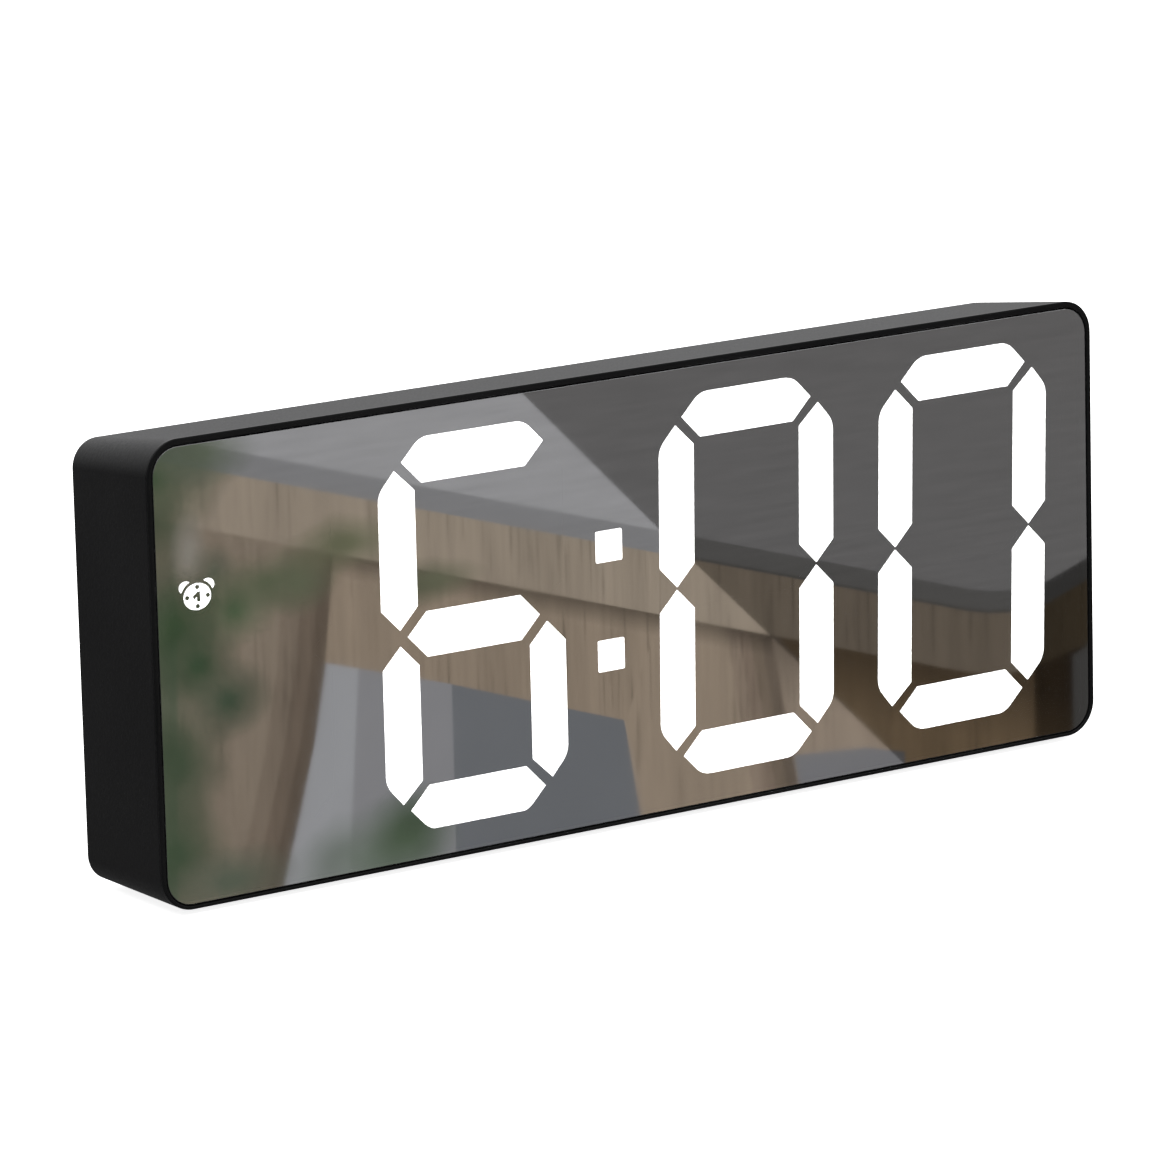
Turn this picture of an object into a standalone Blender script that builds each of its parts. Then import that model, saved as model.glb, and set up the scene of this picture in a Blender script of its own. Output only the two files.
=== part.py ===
"""LED mirror alarm clock: a slim case with drafted sides, a half-mirror front and a seven-segment display.

Sizes are in millimetres and are turned into metres by place(). A place on the clock is given by x (to the
right, seen from the front), depth (behind the front rim) and height (above the case's lowest edge).
The frame is +Z up with the front facing -Y, and its origin is below the middle of the clock, at the level
that its rubber feet stand on.
"""
import math

import bmesh
import bpy
from mathutils import Vector

MM = 0.001

# Driving dimensions of the case
CASE_WIDTH = 163.0
CASE_HEIGHT = 65.0
CASE_DEPTH = 21.0
TOTAL_DEPTH = 28.0
SIDE_DRAFT = 1.1
TOP_DRAFT = 2.75
BOTTOM_DRAFT = 0.3
FRONT_CORNER = 4.93
REAR_CORNER = 3.98
FOOT_STAND = 0.8
FOOT_X = 66.0
FOOT_DEPTHS = (7.0, 16.0)
WALL = 1.5
CLEARANCE = 0.3
CORNER_STEPS = 8

# Layers behind the front rim, each from its front face to its back face
LENS_LAYER = (0.2, 1.7)
TAPE_LAYER = (1.95, 2.15)
LEDGE_LAYER = (2.4, 4.1)
MASK_LAYER = (2.0, 2.2)
DIFFUSER_LAYER = (2.5, 2.9)
BLOCK_LAYER = (3.2, 10.2)
BOARD_LAYER = (10.5, 12.1)
BOARD_TOP = BOARD_LAYER[1] + CLEARANCE
PLATE_LAYER = (19.2, CASE_DEPTH)

# Front opening: the rim's lip, the lens and the ledge that the lens is stuck to
LIP = 0.75
LENS_INSET = 0.95
LEDGE_INSET = 2.9
BLOCK_STEP_INSET = 4.1

# Seven-segment display
DIGIT_WIDTH = 30.8
DIGIT_HEIGHT = 54.9
DIGIT_LOW = 4.75
BAR_HEIGHT = 6.54
STROKE = 6.35
BAR_TIP = 3.85
POST_TIP = 4.25
MIDDLE_TIP = 4.3
WAIST_GAP = 0.4
ONE_LEFT = -82.3
HOUR_LEFT = -43.4
TEN_MINUTE_LEFT = 3.9
MINUTE_LEFT = 43.0
HOUR_WAIST_GAP = 2.3
HOUR_TOP_TAIL = 1.0
DIGIT_LEAN = 0.021
COLON_X = -4.74
COLON_SIDE = 4.7
COLON_HEIGHTS = (24.35, 40.0)
ICON_X = -73.0
ICON_HEIGHT = 42.4
ICON_RADIUS = 2.4

# Rear hump with the battery bay and its door
HUMP_HALF_WIDTH = 46.0
HUMP_LOW = 2.4
HUMP_HIGH = 50.5
HUMP_WALL = 1.8
HUMP_EDGE = 0.8
CELL_RADIUS = 5.25
CELL_LENGTH = 44.5
CELL_PITCH = 10.9
CELL_DEPTH = 20.55
CELL_HEIGHTS = (13.85, 24.75, 35.65)
BAY_HALF_WIDTH = 25.5
BAY_LOW = 8.2
BAY_HIGH = 41.3
BAY_FLOOR = 15.0
BAY_WALL = 1.3
DOOR_HALF_WIDTH = 27.0
DOOR_LOW = 6.85
DOOR_HIGH = 42.7
DOOR_THICKNESS = 1.6
DOOR_GAP = 0.35
HINGE_PIN_RADIUS = 0.6
HINGE_PIN_LENGTH = 1.4
HINGE_HOLE_RADIUS = 0.95

# Keys on the rear, each over its own tact switch on the board
KEY_NAMES = ("mode", "set", "up", "down", "alarm")
KEY_SPACING = 15.0
KEY_HEIGHT = 55.4
KEY_RADIUS = 3.2
KEY_FLANGE_RADIUS = 4.3
KEY_FRONT = 17.9
KEY_BACK = 22.2
SWITCH_SIDE = 6.0
SWITCH_BACK = 15.9
PLUNGER_RADIUS = 1.7
PLUNGER_FRONT = 14.3
PLUNGER_BACK = 17.5

# Fasteners
CASE_SCREW_X = 75.8
CASE_SCREW_HEIGHTS = (5.4, 57.2)
BOARD_SCREW_XS = (-47.45, 38.85)
BOARD_SCREW_HEIGHTS = (12.0, 50.0)
BOSS_RADIUS = 2.4

# Power inlet and buzzer
USB_X = 62.0
USB_HEIGHT = 14.0
USB_HALF_WIDTH = 4.47
USB_HALF_HEIGHT = 1.63
BUZZER_X = -62.0
BUZZER_HEIGHT = 22.0
SOUND_HOLE_PITCH = 3.2

BLACK = (0.012, 0.012, 0.013, 1.0)
DARK = (0.02, 0.02, 0.022, 1.0)
WHITE = (0.85, 0.85, 0.84, 1.0)
STEEL = (0.55, 0.55, 0.56, 1.0)
NICKEL = (0.62, 0.6, 0.56, 1.0)
GREEN = (0.01, 0.09, 0.03, 1.0)


def clear_scene():
    for old in list(bpy.data.objects):
        bpy.data.objects.remove(old, do_unlink=True)


def place(x, depth, height):
    """The point at x, depth and height, in the frame's metres."""
    return Vector((x * MM, (depth - TOTAL_DEPTH / 2) * MM, (height + FOOT_STAND) * MM))


def material(name, colour, roughness, metallic=0.0):
    found = bpy.data.materials.get(name)
    if found:
        return found
    made = bpy.data.materials.new(name)
    made.use_nodes = True
    shader = made.node_tree.nodes["Principled BSDF"]
    shader.inputs["Base Color"].default_value = colour
    shader.inputs["Roughness"].default_value = roughness
    shader.inputs["Metallic"].default_value = metallic
    return made


def add_object(name, bm, finish=None, origin=None):
    """Turn bm into an object, with its origin at a given point of the frame."""
    bmesh.ops.recalc_face_normals(bm, faces=bm.faces)
    if origin is not None:
        bmesh.ops.translate(bm, verts=bm.verts, vec=-origin)
    mesh = bpy.data.meshes.new(name)
    bm.to_mesh(mesh)
    bm.free()
    made = bpy.data.objects.new(name, mesh)
    bpy.context.scene.collection.objects.link(made)
    if origin is not None:
        made.location = origin
    if finish is None:
        made.hide_render = True
        made.display_type = "WIRE"
    else:
        mesh.materials.append(finish)
        mesh.shade_smooth()
        mesh.set_sharp_from_angle(angle=math.radians(35))
    return made


def add_skin(bm, rings, closed=False):
    """Join rings of points, all of the same count, into a skin that is capped unless it closes on itself."""
    loops = [[bm.verts.new(point) for point in ring] for ring in rings]
    pairs = list(zip(loops, loops[1:]))
    if closed:
        pairs.append((loops[-1], loops[0]))
    for near, far in pairs:
        for i in range(len(near)):
            j = (i + 1) % len(near)
            bm.faces.new((near[i], near[j], far[j], far[i]))
    if not closed:
        bm.faces.new(loops[0])
        bm.faces.new(loops[-1])


def rounded_outline(left, right, low, high, radius, steps=CORNER_STEPS):
    """A rectangle with round corners, as (x, height) points, anticlockwise seen from the front."""
    corners = (
        (right - radius, low + radius, -90),
        (right - radius, high - radius, 0),
        (left + radius, high - radius, 90),
        (left + radius, low + radius, 180),
    )
    points = []
    for x, height, start in corners:
        for step in range(steps + 1):
            angle = math.radians(start + 90 * step / steps)
            points.append((x + radius * math.cos(angle), height + radius * math.sin(angle)))
    return points


def case_outline(depth, inset):
    """The drafted case's outline at a depth, moved inwards by inset."""
    share = depth / CASE_DEPTH
    half = CASE_WIDTH / 2 - SIDE_DRAFT * share - inset
    low = BOTTOM_DRAFT * share + inset
    high = CASE_HEIGHT - TOP_DRAFT * share - inset
    radius = FRONT_CORNER + (REAR_CORNER - FRONT_CORNER) * share - inset
    return rounded_outline(-half, half, low, high, max(radius, 0.4))


def ring_at(outline, depth):
    return [place(x, depth, height) for x, height in outline]


def slab(name, outline, layer, finish=None, edge=0.0):
    """A flat piece with this outline, between the two depths of its layer."""
    bm = bmesh.new()
    add_skin(bm, [ring_at(outline, depth) for depth in layer])
    if edge:
        rims = [e for e in bm.edges if e.calc_face_angle(0) > math.radians(60)]
        bmesh.ops.bevel(bm, geom=rims, offset=edge * MM, segments=2, affect="EDGES", profile=0.5)
    return add_object(name, bm, finish)


def box(name, x_span, layer, height_span, finish=None, edge=0.0):
    (left, right), (low, high) = x_span, height_span
    outline = [(left, low), (right, low), (right, high), (left, high)]
    return slab(name, outline, layer, finish, edge)


def turned(name, centre, axis, profile, finish=None, steps=24, origin=None):
    """A solid of revolution: profile is (radius, distance along the axis) from its one end to the other."""
    along = Vector(axis)
    across = Vector((0, 0, 1)) if axis[2] == 0 else Vector((1, 0, 0))
    other = along.cross(across)
    middle = place(*centre)
    rings = []
    for radius, distance in profile:
        ring = []
        for step in range(steps):
            angle = 2 * math.pi * step / steps
            spoke = across * math.cos(angle) + other * math.sin(angle)
            ring.append(middle + (along * distance + spoke * radius) * MM)
        rings.append(ring)
    bm = bmesh.new()
    add_skin(bm, rings)
    return add_object(name, bm, finish, origin)


def merge(name, pieces):
    """Gather several cutters into one object, so that one Boolean takes them all."""
    bm = bmesh.new()
    for piece in pieces:
        bm.from_mesh(piece.data)
        bpy.data.objects.remove(piece, do_unlink=True)
    return add_object(name, bm)


def boolean(target, operand, operation):
    change = target.modifiers.new(operand.name, "BOOLEAN")
    change.operation = operation
    change.solver = "EXACT"
    change.object = operand


def cut(target, *cutters):
    for cutter in cutters:
        boolean(target, cutter, "DIFFERENCE")


def fuse(target, *pieces):
    for piece in pieces:
        boolean(target, piece, "UNION")


def hexagon(start, end, half_width):
    """A bar from tip to tip with 45 degree points, lying along x or along the height."""
    (x0, h0), (x1, h1) = start, end
    w = half_width
    if h0 == h1:
        return [(x0, h0), (x0 + w, h0 - w), (x1 - w, h0 - w), (x1, h1), (x1 - w, h1 + w), (x0 + w, h1 + w)]
    return [(x0, h0), (x0 + w, h0 + w), (x1 + w, h1 - w), (x1, h1), (x1 - w, h1 - w), (x0 - w, h0 + w)]


def post_segments(x, waist_gap):
    """The lower and the upper segment of one side of a digit, on the centre line x."""
    low = DIGIT_LOW + POST_TIP
    high = DIGIT_LOW + DIGIT_HEIGHT - POST_TIP
    middle = DIGIT_LOW + DIGIT_HEIGHT / 2
    lower = hexagon((x, low), (x, middle - waist_gap / 2), STROKE / 2)
    upper = hexagon((x, middle + waist_gap / 2), (x, high), STROKE / 2)
    return [lower, upper]


def digit_segments(left, waist_gap=WAIST_GAP, top_tail=0.0):
    """The seven segments of one digit whose left edge is at left."""
    right = left + DIGIT_WIDTH
    half = BAR_HEIGHT / 2
    bottom = DIGIT_LOW + half
    middle = DIGIT_LOW + DIGIT_HEIGHT / 2
    top = DIGIT_LOW + DIGIT_HEIGHT - half
    segments = post_segments(left + STROKE / 2, waist_gap) + post_segments(right - STROKE / 2, waist_gap)
    segments.append(hexagon((left + BAR_TIP, bottom), (right - BAR_TIP, bottom), half))
    segments.append(hexagon((left + MIDDLE_TIP, middle), (right - MIDDLE_TIP, middle), half))
    segments.append(hexagon((left + BAR_TIP, top), (right - BAR_TIP + top_tail, top), half))
    return segments


def colon_outlines():
    half = COLON_SIDE / 2
    for height in COLON_HEIGHTS:
        yield [
            (COLON_X - half, height - half),
            (COLON_X + half, height - half),
            (COLON_X + half, height + half),
            (COLON_X - half, height + half),
        ]


def circle_outline(x, height, radius, steps=20):
    angles = [2 * math.pi * step / steps for step in range(steps)]
    return [(x + radius * math.cos(a), height + radius * math.sin(a)) for a in angles]


def leaning(outline):
    """The outline with its top moved to the right, as the digits lean slightly."""
    middle = DIGIT_LOW + DIGIT_HEIGHT / 2
    return [(x + (height - middle) * DIGIT_LEAN, height) for x, height in outline]


def display_windows():
    """Every light window of the display: a leading 1, three digits, the colon and the alarm sign."""
    upright = post_segments(ONE_LEFT + DIGIT_WIDTH - STROKE / 2, WAIST_GAP)
    upright += digit_segments(HOUR_LEFT, HOUR_WAIST_GAP, HOUR_TOP_TAIL)
    upright += digit_segments(TEN_MINUTE_LEFT)
    upright += digit_segments(MINUTE_LEFT)
    windows = [leaning(outline) for outline in upright]
    windows += list(colon_outlines())
    windows.append(circle_outline(ICON_X, ICON_HEIGHT, ICON_RADIUS))
    return windows


def window_cutter(name, layer):
    deep = (layer[0] - 1, layer[1] + 1)
    pieces = [slab(f"{name}_{i}", outline, deep) for i, outline in enumerate(display_windows())]
    return merge(name, pieces)


def corner_places():
    for height in CASE_SCREW_HEIGHTS:
        for side in (-1, 1):
            yield side * CASE_SCREW_X, height


def corner_notches(name, layer):
    """Cutters that clear the four corner bosses from a plate that fills the case."""
    clear = BOSS_RADIUS + CLEARANCE
    low, high = CASE_SCREW_HEIGHTS
    pieces = []
    for side in (-1, 1):
        inner = side * (CASE_SCREW_X - clear)
        outer = side * CASE_WIDTH / 2
        span = (min(inner, outer), max(inner, outer))
        pieces.append(box(f"{name}_low", span, layer, (-1, low + clear)))
        pieces.append(box(f"{name}_high", span, layer, (high - clear, CASE_HEIGHT + 1)))
    return merge(name, pieces)


def front_housing(finish):
    """The drafted outer shell: its wall section is swept round the outline, then bosses are added."""
    edge = 0.35
    soft = edge * (1 - math.sqrt(0.5))
    drafted = (
        (edge, 0.0),
        (soft, soft),
        (0.0, edge),
        (0.0, CASE_DEPTH - edge),
        (soft, CASE_DEPTH - soft),
        (edge, CASE_DEPTH),
        (WALL, CASE_DEPTH),
        (WALL, LEDGE_LAYER[1]),
    )
    straight = (
        (LEDGE_INSET, LEDGE_LAYER[1]),
        (LEDGE_INSET, LEDGE_LAYER[0]),
        (LIP, LEDGE_LAYER[0]),
        (LIP, edge / 2),
        (LIP - soft, soft / 2),
    )
    rings = [ring_at(case_outline(depth, inset), depth) for inset, depth in drafted]
    rings += [ring_at(case_outline(0, inset), depth) for inset, depth in straight]
    bm = bmesh.new()
    add_skin(bm, rings, closed=True)
    shell = add_object("front_housing", bm, finish)
    boss_layer = (LEDGE_LAYER[1] - 0.6, PLATE_LAYER[0] - CLEARANCE)
    for index, (x, height) in enumerate(corner_places(), 1):
        boss_length = boss_layer[1] - boss_layer[0]
        boss = turned(
            f"boss_{index}", (x, boss_layer[0], height), (0, 1, 0), [(BOSS_RADIUS, 0), (BOSS_RADIUS, boss_length)]
        )
        wall_x = math.copysign(CASE_WIDTH / 2 - SIDE_DRAFT - WALL / 2, x)
        rib = box(f"boss_rib_{index}", (min(x, wall_x), max(x, wall_x)), boss_layer, (height - 0.8, height + 0.8))
        hole = turned(f"boss_hole_{index}", (x, boss_layer[1] - 9, height), (0, 1, 0), [(1.2, 0), (1.2, 10)])
        fuse(shell, rib, boss)
        cut(shell, hole)
    for index, (x, depth) in enumerate(foot_places(), 1):
        pocket = turned(f"foot_pocket_{index}", (x, depth, -1), (0, 0, 1), [(3.8, 0), (3.8, 1.5)])
        cut(shell, pocket)


def foot_places():
    for depth in FOOT_DEPTHS:
        for x in (-FOOT_X, FOOT_X):
            yield x, depth


def feet(finish):
    for index, (x, depth) in enumerate(foot_places(), 1):
        profile = [(3.2, 0), (3.5, 0.25), (3.5, 1.0)]
        turned(f"foot_{index}", (x, depth, -FOOT_STAND), (0, 0, 1), profile, finish)


def mirror_lens(finish):
    slab("mirror_lens", case_outline(0, LENS_INSET), LENS_LAYER, finish, edge=0.15)


def lens_tape(finish):
    """The black adhesive ring that holds the lens on the ledge."""
    outer = case_outline(0, LENS_INSET + 0.25)
    inner = case_outline(0, LEDGE_INSET)
    bm = bmesh.new()
    near, far = TAPE_LAYER
    add_skin(bm, [ring_at(outer, near), ring_at(outer, far), ring_at(inner, far), ring_at(inner, near)], True)
    add_object("lens_tape", bm, finish)


def display_stack(film, sheet, plastic):
    """The printed mask, the diffuser behind it and the white reflector block with its light cells."""
    outline = case_outline(0, BLOCK_STEP_INSET)
    mask = slab("segment_mask", outline, MASK_LAYER, film)
    cut(mask, window_cutter("mask_windows", MASK_LAYER))
    slab("diffuser_sheet", outline, DIFFUSER_LAYER, sheet)
    block = slab("reflector_block", outline, BLOCK_LAYER, plastic)
    step_layer = (LEDGE_LAYER[1] + CLEARANCE, BLOCK_LAYER[1] - 0.4)
    step = slab("block_step", case_outline(step_layer[1], LEDGE_INSET - 0.6), step_layer)
    fuse(block, step)
    cut(block, window_cutter("block_cells", BLOCK_LAYER))
    cut(block, corner_notches("block_notches", (BLOCK_LAYER[0] - 1, BLOCK_LAYER[1] + 1)))
    cut(block, screw_holes("block_screw_holes", (BLOCK_LAYER[1] - 4.0, BLOCK_LAYER[1] + 1), 1.1))


def screw_holes(name, layer, radius):
    pieces = []
    for x in BOARD_SCREW_XS:
        for height in BOARD_SCREW_HEIGHTS:
            length = layer[1] - layer[0]
            pieces.append(turned(name, (x, layer[0], height), (0, 1, 0), [(radius, 0), (radius, length)], steps=16))
    return merge(name, pieces)


def main_board(finish):
    board = slab("main_board", case_outline(BOARD_LAYER[1], WALL + 0.7), BOARD_LAYER, finish)
    cut(board, corner_notches("board_notches", (BOARD_LAYER[0] - 1, BOARD_LAYER[1] + 1)))
    cut(board, screw_holes("board_screw_holes", (BOARD_LAYER[0] - 1, BOARD_LAYER[1] + 1), 1.2))


def screw(name, x, seat, height, shank, length, head, head_height, finish):
    """A pan head screw that points forwards, with its head's underside at depth seat and a cross recess."""
    profile = [
        (shank * 0.35, -length),
        (shank, 0.6 - length),
        (shank, 0),
        (head, 0),
        (head, head_height * 0.45),
        (head * 0.7, head_height * 0.9),
        (head * 0.3, head_height),
    ]
    made = turned(name, (x, seat, height), (0, 1, 0), profile, finish, steps=12)
    arm = head * 0.55
    slot = 0.22 * head
    layer = (seat + head_height * 0.45, seat + head_height + 1)
    across = box(f"{name}_slot_across", (x - arm, x + arm), layer, (height - slot / 2, height + slot / 2))
    upright = box(f"{name}_slot_upright", (x - slot / 2, x + slot / 2), layer, (height - arm, height + arm))
    cut(made, across, upright)


def screws(finish):
    for index, (x, height) in enumerate(corner_places(), 1):
        screw(f"case_screw_{index}", x, PLATE_LAYER[0] + 0.8, height, 0.85, 7.5, 1.75, 0.9, finish)
    index = 1
    for x in BOARD_SCREW_XS:
        for height in BOARD_SCREW_HEIGHTS:
            screw(f"board_screw_{index}", x, BOARD_TOP, height, 0.75, 5.2, 1.6, 1.0, finish)
            index += 1


def chips(resin, metal, ceramic, sleeve):
    box("clock_chip", (53, 63), (BOARD_TOP, BOARD_TOP + 1.4), (34, 44), resin, edge=0.2)
    box("driver_chip", (53, 63), (BOARD_TOP, BOARD_TOP + 1.5), (24, 28), resin, edge=0.2)
    crystal = [(0.9, 0), (1.05, 0.2), (1.05, 5.8), (0.9, 6.0)]
    turned("timing_crystal", (49.0, BOARD_TOP + 1.05, 49.0), (1, 0, 0), crystal, metal, steps=16)
    can = [(2.9, 0), (3.15, 0.3), (3.15, 1.6), (2.95, 1.9), (3.15, 2.2), (3.15, 10.7), (2.85, 11.0)]
    turned("smoothing_capacitor", (-58.0, BOARD_TOP + 3.15, 35.0), (0, 0, 1), can, sleeve, steps=24)
    drum = [(6.0, 0), (6.0, 5.2), (5.7, 5.5)]
    buzzer = turned("buzzer", (BUZZER_X, BOARD_TOP, BUZZER_HEIGHT), (0, 1, 0), drum, ceramic)
    port = turned("buzzer_port", (BUZZER_X, BOARD_TOP + 3.5, BUZZER_HEIGHT), (0, 1, 0), [(1, 0), (1, 3)], steps=16)
    cut(buzzer, port)


def stadium(x, height, half_width, half_height):
    return rounded_outline(
        x - half_width, x + half_width, height - half_height, height + half_height, half_height - 0.02, 6
    )


def usb_socket(metal, resin):
    """The upright power inlet: a drawn steel shell, open to the rear, round a contact tongue."""
    shell_layer = (BOARD_TOP, PLATE_LAYER[1] - 0.2)
    shell = slab("usb_shell", stadium(USB_X, USB_HEIGHT, USB_HALF_WIDTH, USB_HALF_HEIGHT), shell_layer, metal)
    mouth = stadium(USB_X, USB_HEIGHT, USB_HALF_WIDTH - 0.3, USB_HALF_HEIGHT - 0.3)
    cut(shell, slab("usb_mouth", mouth, (shell_layer[1] - 7.0, shell_layer[1] + 1)))
    tongue_layer = (shell_layer[1] - 6.7, shell_layer[1] - 1.2)
    span = (USB_X - 3.3, USB_X + 3.3)
    box("usb_tongue", span, tongue_layer, (USB_HEIGHT - 0.35, USB_HEIGHT + 0.35), resin, edge=0.1)


def key_places():
    middle = (len(KEY_NAMES) - 1) / 2
    for index, name in enumerate(KEY_NAMES):
        yield name, (middle - index) * KEY_SPACING


def switches_and_keys(resin, nub, plastic):
    """Each key is a domed cap with a flange that keeps it behind the cover, over a tact switch's plunger."""
    for name, x in key_places():
        half = SWITCH_SIDE / 2
        layer = (BOARD_TOP, SWITCH_BACK)
        heights = (KEY_HEIGHT - half, KEY_HEIGHT + half)
        body = box(f"switch_body_{name}", (x - half, x + half), layer, heights, resin, edge=0.3)
        well = [(PLUNGER_RADIUS + CLEARANCE, 0), (PLUNGER_RADIUS + CLEARANCE, 4)]
        well_front = PLUNGER_FRONT - 0.9
        cut(body, turned(f"switch_well_{name}", (x, well_front, KEY_HEIGHT), (0, 1, 0), well, steps=16))
        origin = place(x, PLUNGER_FRONT, KEY_HEIGHT)
        length = PLUNGER_BACK - PLUNGER_FRONT
        pin = [(PLUNGER_RADIUS, 0), (PLUNGER_RADIUS, length - 0.2), (PLUNGER_RADIUS - 0.2, length)]
        turned(f"switch_plunger_{name}", (x, PLUNGER_FRONT, KEY_HEIGHT), (0, 1, 0), pin, nub, 16, origin)
        rise = KEY_BACK - KEY_FRONT
        cap = [
            (KEY_FLANGE_RADIUS, 0),
            (KEY_FLANGE_RADIUS, 0.9),
            (KEY_RADIUS, 0.9),
            (KEY_RADIUS, rise - 0.5),
            (KEY_RADIUS - 0.15, rise - 0.15),
            (KEY_RADIUS - 0.5, rise),
            (KEY_RADIUS - 1.4, rise - 0.12),
        ]
        origin = place(x, KEY_FRONT, KEY_HEIGHT)
        turned(f"key_{name}", (x, KEY_FRONT, KEY_HEIGHT), (0, 1, 0), cap, plastic, 24, origin)


def hump_outline(depth, inset):
    """The rear hump's outline, which narrows towards its back face."""
    share = (depth - CASE_DEPTH) / (TOTAL_DEPTH - CASE_DEPTH)
    half = HUMP_HALF_WIDTH - 3.0 * share - inset
    low = HUMP_LOW + 0.4 * share + inset
    high = HUMP_HIGH - 4.2 * share - inset
    return rounded_outline(-half, half, low, high, 5.0 - inset, 8)


def hump_solid(name):
    edge = HUMP_EDGE
    soft = edge * (1 - math.sqrt(0.5))
    rings = ((PLATE_LAYER[0] + 0.4, 0.0), (TOTAL_DEPTH - edge, 0.0), (TOTAL_DEPTH - soft, soft), (TOTAL_DEPTH, edge))
    bm = bmesh.new()
    add_skin(bm, [ring_at(hump_outline(depth, inset), depth) for depth, inset in rings])
    return add_object(name, bm)


def hump_hollow(name):
    depths = (PLATE_LAYER[0] - 1, TOTAL_DEPTH - HUMP_WALL)
    bm = bmesh.new()
    add_skin(bm, [ring_at(hump_outline(depth, HUMP_WALL), depth) for depth in depths])
    return add_object(name, bm)


def cell_cradles():
    """Two ridges on the bay's floor that keep the three cells apart."""
    for index in (0, 1):
        middle = (CELL_HEIGHTS[index] + CELL_HEIGHTS[index + 1]) / 2
        layer = (BAY_FLOOR - 0.4, BAY_FLOOR + 3.2)
        half = contact_face() - CLEARANCE
        bm = bmesh.new()
        rings = []
        for x in (-half, half):
            corners = ((layer[0], -2.1), (layer[0], 2.1), (layer[1], 0.25), (layer[1], -0.25))
            rings.append([place(x, depth, middle + offset) for depth, offset in corners])
        add_skin(bm, rings)
        yield add_object(f"cell_cradle_{index + 1}", bm)


def rear_cover(finish):
    """The rear plate with its hump, battery bay, key holes, inlet slot, sound holes and screw seats."""
    cover = slab("rear_cover", case_outline(CASE_DEPTH, WALL + CLEARANCE), PLATE_LAYER, finish)
    cut(cover, case_screw_seats(), key_holes(), usb_slot(), sound_holes())
    fuse(cover, *board_posts())
    fuse(cover, hump_solid("hump_outside"))
    cut(cover, hump_hollow("hump_inside"))
    bay_outside = box(
        "bay_outside",
        (-BAY_HALF_WIDTH - BAY_WALL, BAY_HALF_WIDTH + BAY_WALL),
        (BAY_FLOOR - 1.2, TOTAL_DEPTH - HUMP_WALL + 0.4),
        (BAY_LOW - BAY_WALL, BAY_HIGH + BAY_WALL),
    )
    bay = box("bay_inside", (-BAY_HALF_WIDTH, BAY_HALF_WIDTH), (BAY_FLOOR, TOTAL_DEPTH + 1), (BAY_LOW, BAY_HIGH))
    seat = TOTAL_DEPTH - DOOR_THICKNESS - CLEARANCE
    reach = DOOR_HALF_WIDTH + DOOR_GAP
    low, high = DOOR_LOW - DOOR_GAP, DOOR_HIGH + DOOR_GAP
    frame_layer = (seat - 1.2, TOTAL_DEPTH - HUMP_WALL + 0.4)
    frame = box("door_frame", (-reach - 1.8, reach + 1.8), frame_layer, (low - 1.3, high + 1.3))
    recess = box("door_recess", (-reach, reach), (seat, TOTAL_DEPTH + 1), (low, high))
    fuse(cover, bay_outside, frame)
    cut(cover, bay, recess)
    fuse(cover, *cell_cradles())
    cut(cover, door_pin_holes(), door_latch_notch(), contact_slots())


def door_pin_holes():
    """Holes in the recess's side walls for the door's hinge pins."""
    reach = DOOR_HALF_WIDTH + HINGE_PIN_LENGTH + CLEARANCE
    depth, height = hinge_line()
    profile = [(HINGE_HOLE_RADIUS, -reach), (HINGE_HOLE_RADIUS, reach)]
    return turned("door_pin_holes", (0, depth, height), (1, 0, 0), profile, steps=20)


def door_latch_notch():
    return box("latch_notch", (-3.4, 3.4), (TOTAL_DEPTH - 1.9, TOTAL_DEPTH + 1), (DOOR_HIGH, DOOR_HIGH + 1.3))


def contact_slots():
    """Slots in the bay's end walls for the two solder tabs."""
    reach = BAY_HALF_WIDTH + BAY_WALL + 1
    low, _, high = CELL_HEIGHTS
    layer = (16.0, 17.2)
    left = box("slot_left", (-reach, 0.5 - BAY_HALF_WIDTH), layer, (low - 1.5, low + 1.5))
    right = box("slot_right", (BAY_HALF_WIDTH - 0.5, reach), layer, (high - 1.5, high + 1.5))
    return merge("contact_slots", [left, right])


def key_holes():
    hole = [(KEY_RADIUS + CLEARANCE, 0), (KEY_RADIUS + CLEARANCE, 4)]
    pieces = [turned("hole", (x, 18, KEY_HEIGHT), (0, 1, 0), hole) for _, x in key_places()]
    return merge("key_holes", pieces)


def usb_slot():
    outline = stadium(USB_X, USB_HEIGHT, USB_HALF_WIDTH + CLEARANCE, USB_HALF_HEIGHT + CLEARANCE)
    return slab("usb_slot", outline, (PLATE_LAYER[0] - 1, PLATE_LAYER[1] + 1))


def sound_holes():
    """One hole in the middle and six round it."""
    places = [(BUZZER_X, BUZZER_HEIGHT)]
    for step in range(6):
        angle = math.radians(60 * step)
        x = BUZZER_X + SOUND_HOLE_PITCH * math.cos(angle)
        height = BUZZER_HEIGHT + SOUND_HOLE_PITCH * math.sin(angle)
        places.append((x, height))
    hole = [(0.75, 0), (0.75, 4)]
    return merge("sound_holes", [turned("hole", (x, 18, h), (0, 1, 0), hole, steps=12) for x, h in places])


def case_screw_seats():
    seat = PLATE_LAYER[0] + 0.8 - CLEARANCE
    profile = [(1.2, -3), (1.2, 0), (2.05, 0), (2.05, 5)]
    pieces = [turned("seat", (x, seat, height), (0, 1, 0), profile, steps=24) for x, height in corner_places()]
    return merge("case_screw_seats", pieces)


def board_posts():
    """Posts inside the cover that press the board and the display forwards."""
    start = BOARD_TOP
    length = PLATE_LAYER[0] + 0.5 - start
    places = [(-52, 6), (52, 6), (-66, 50), (66, 50)]
    for index, (x, height) in enumerate(places, 1):
        profile = [(1.8, 0), (2.0, length)]
        yield turned(f"board_post_{index}", (x, start, height), (0, 1, 0), profile, steps=16)


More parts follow.
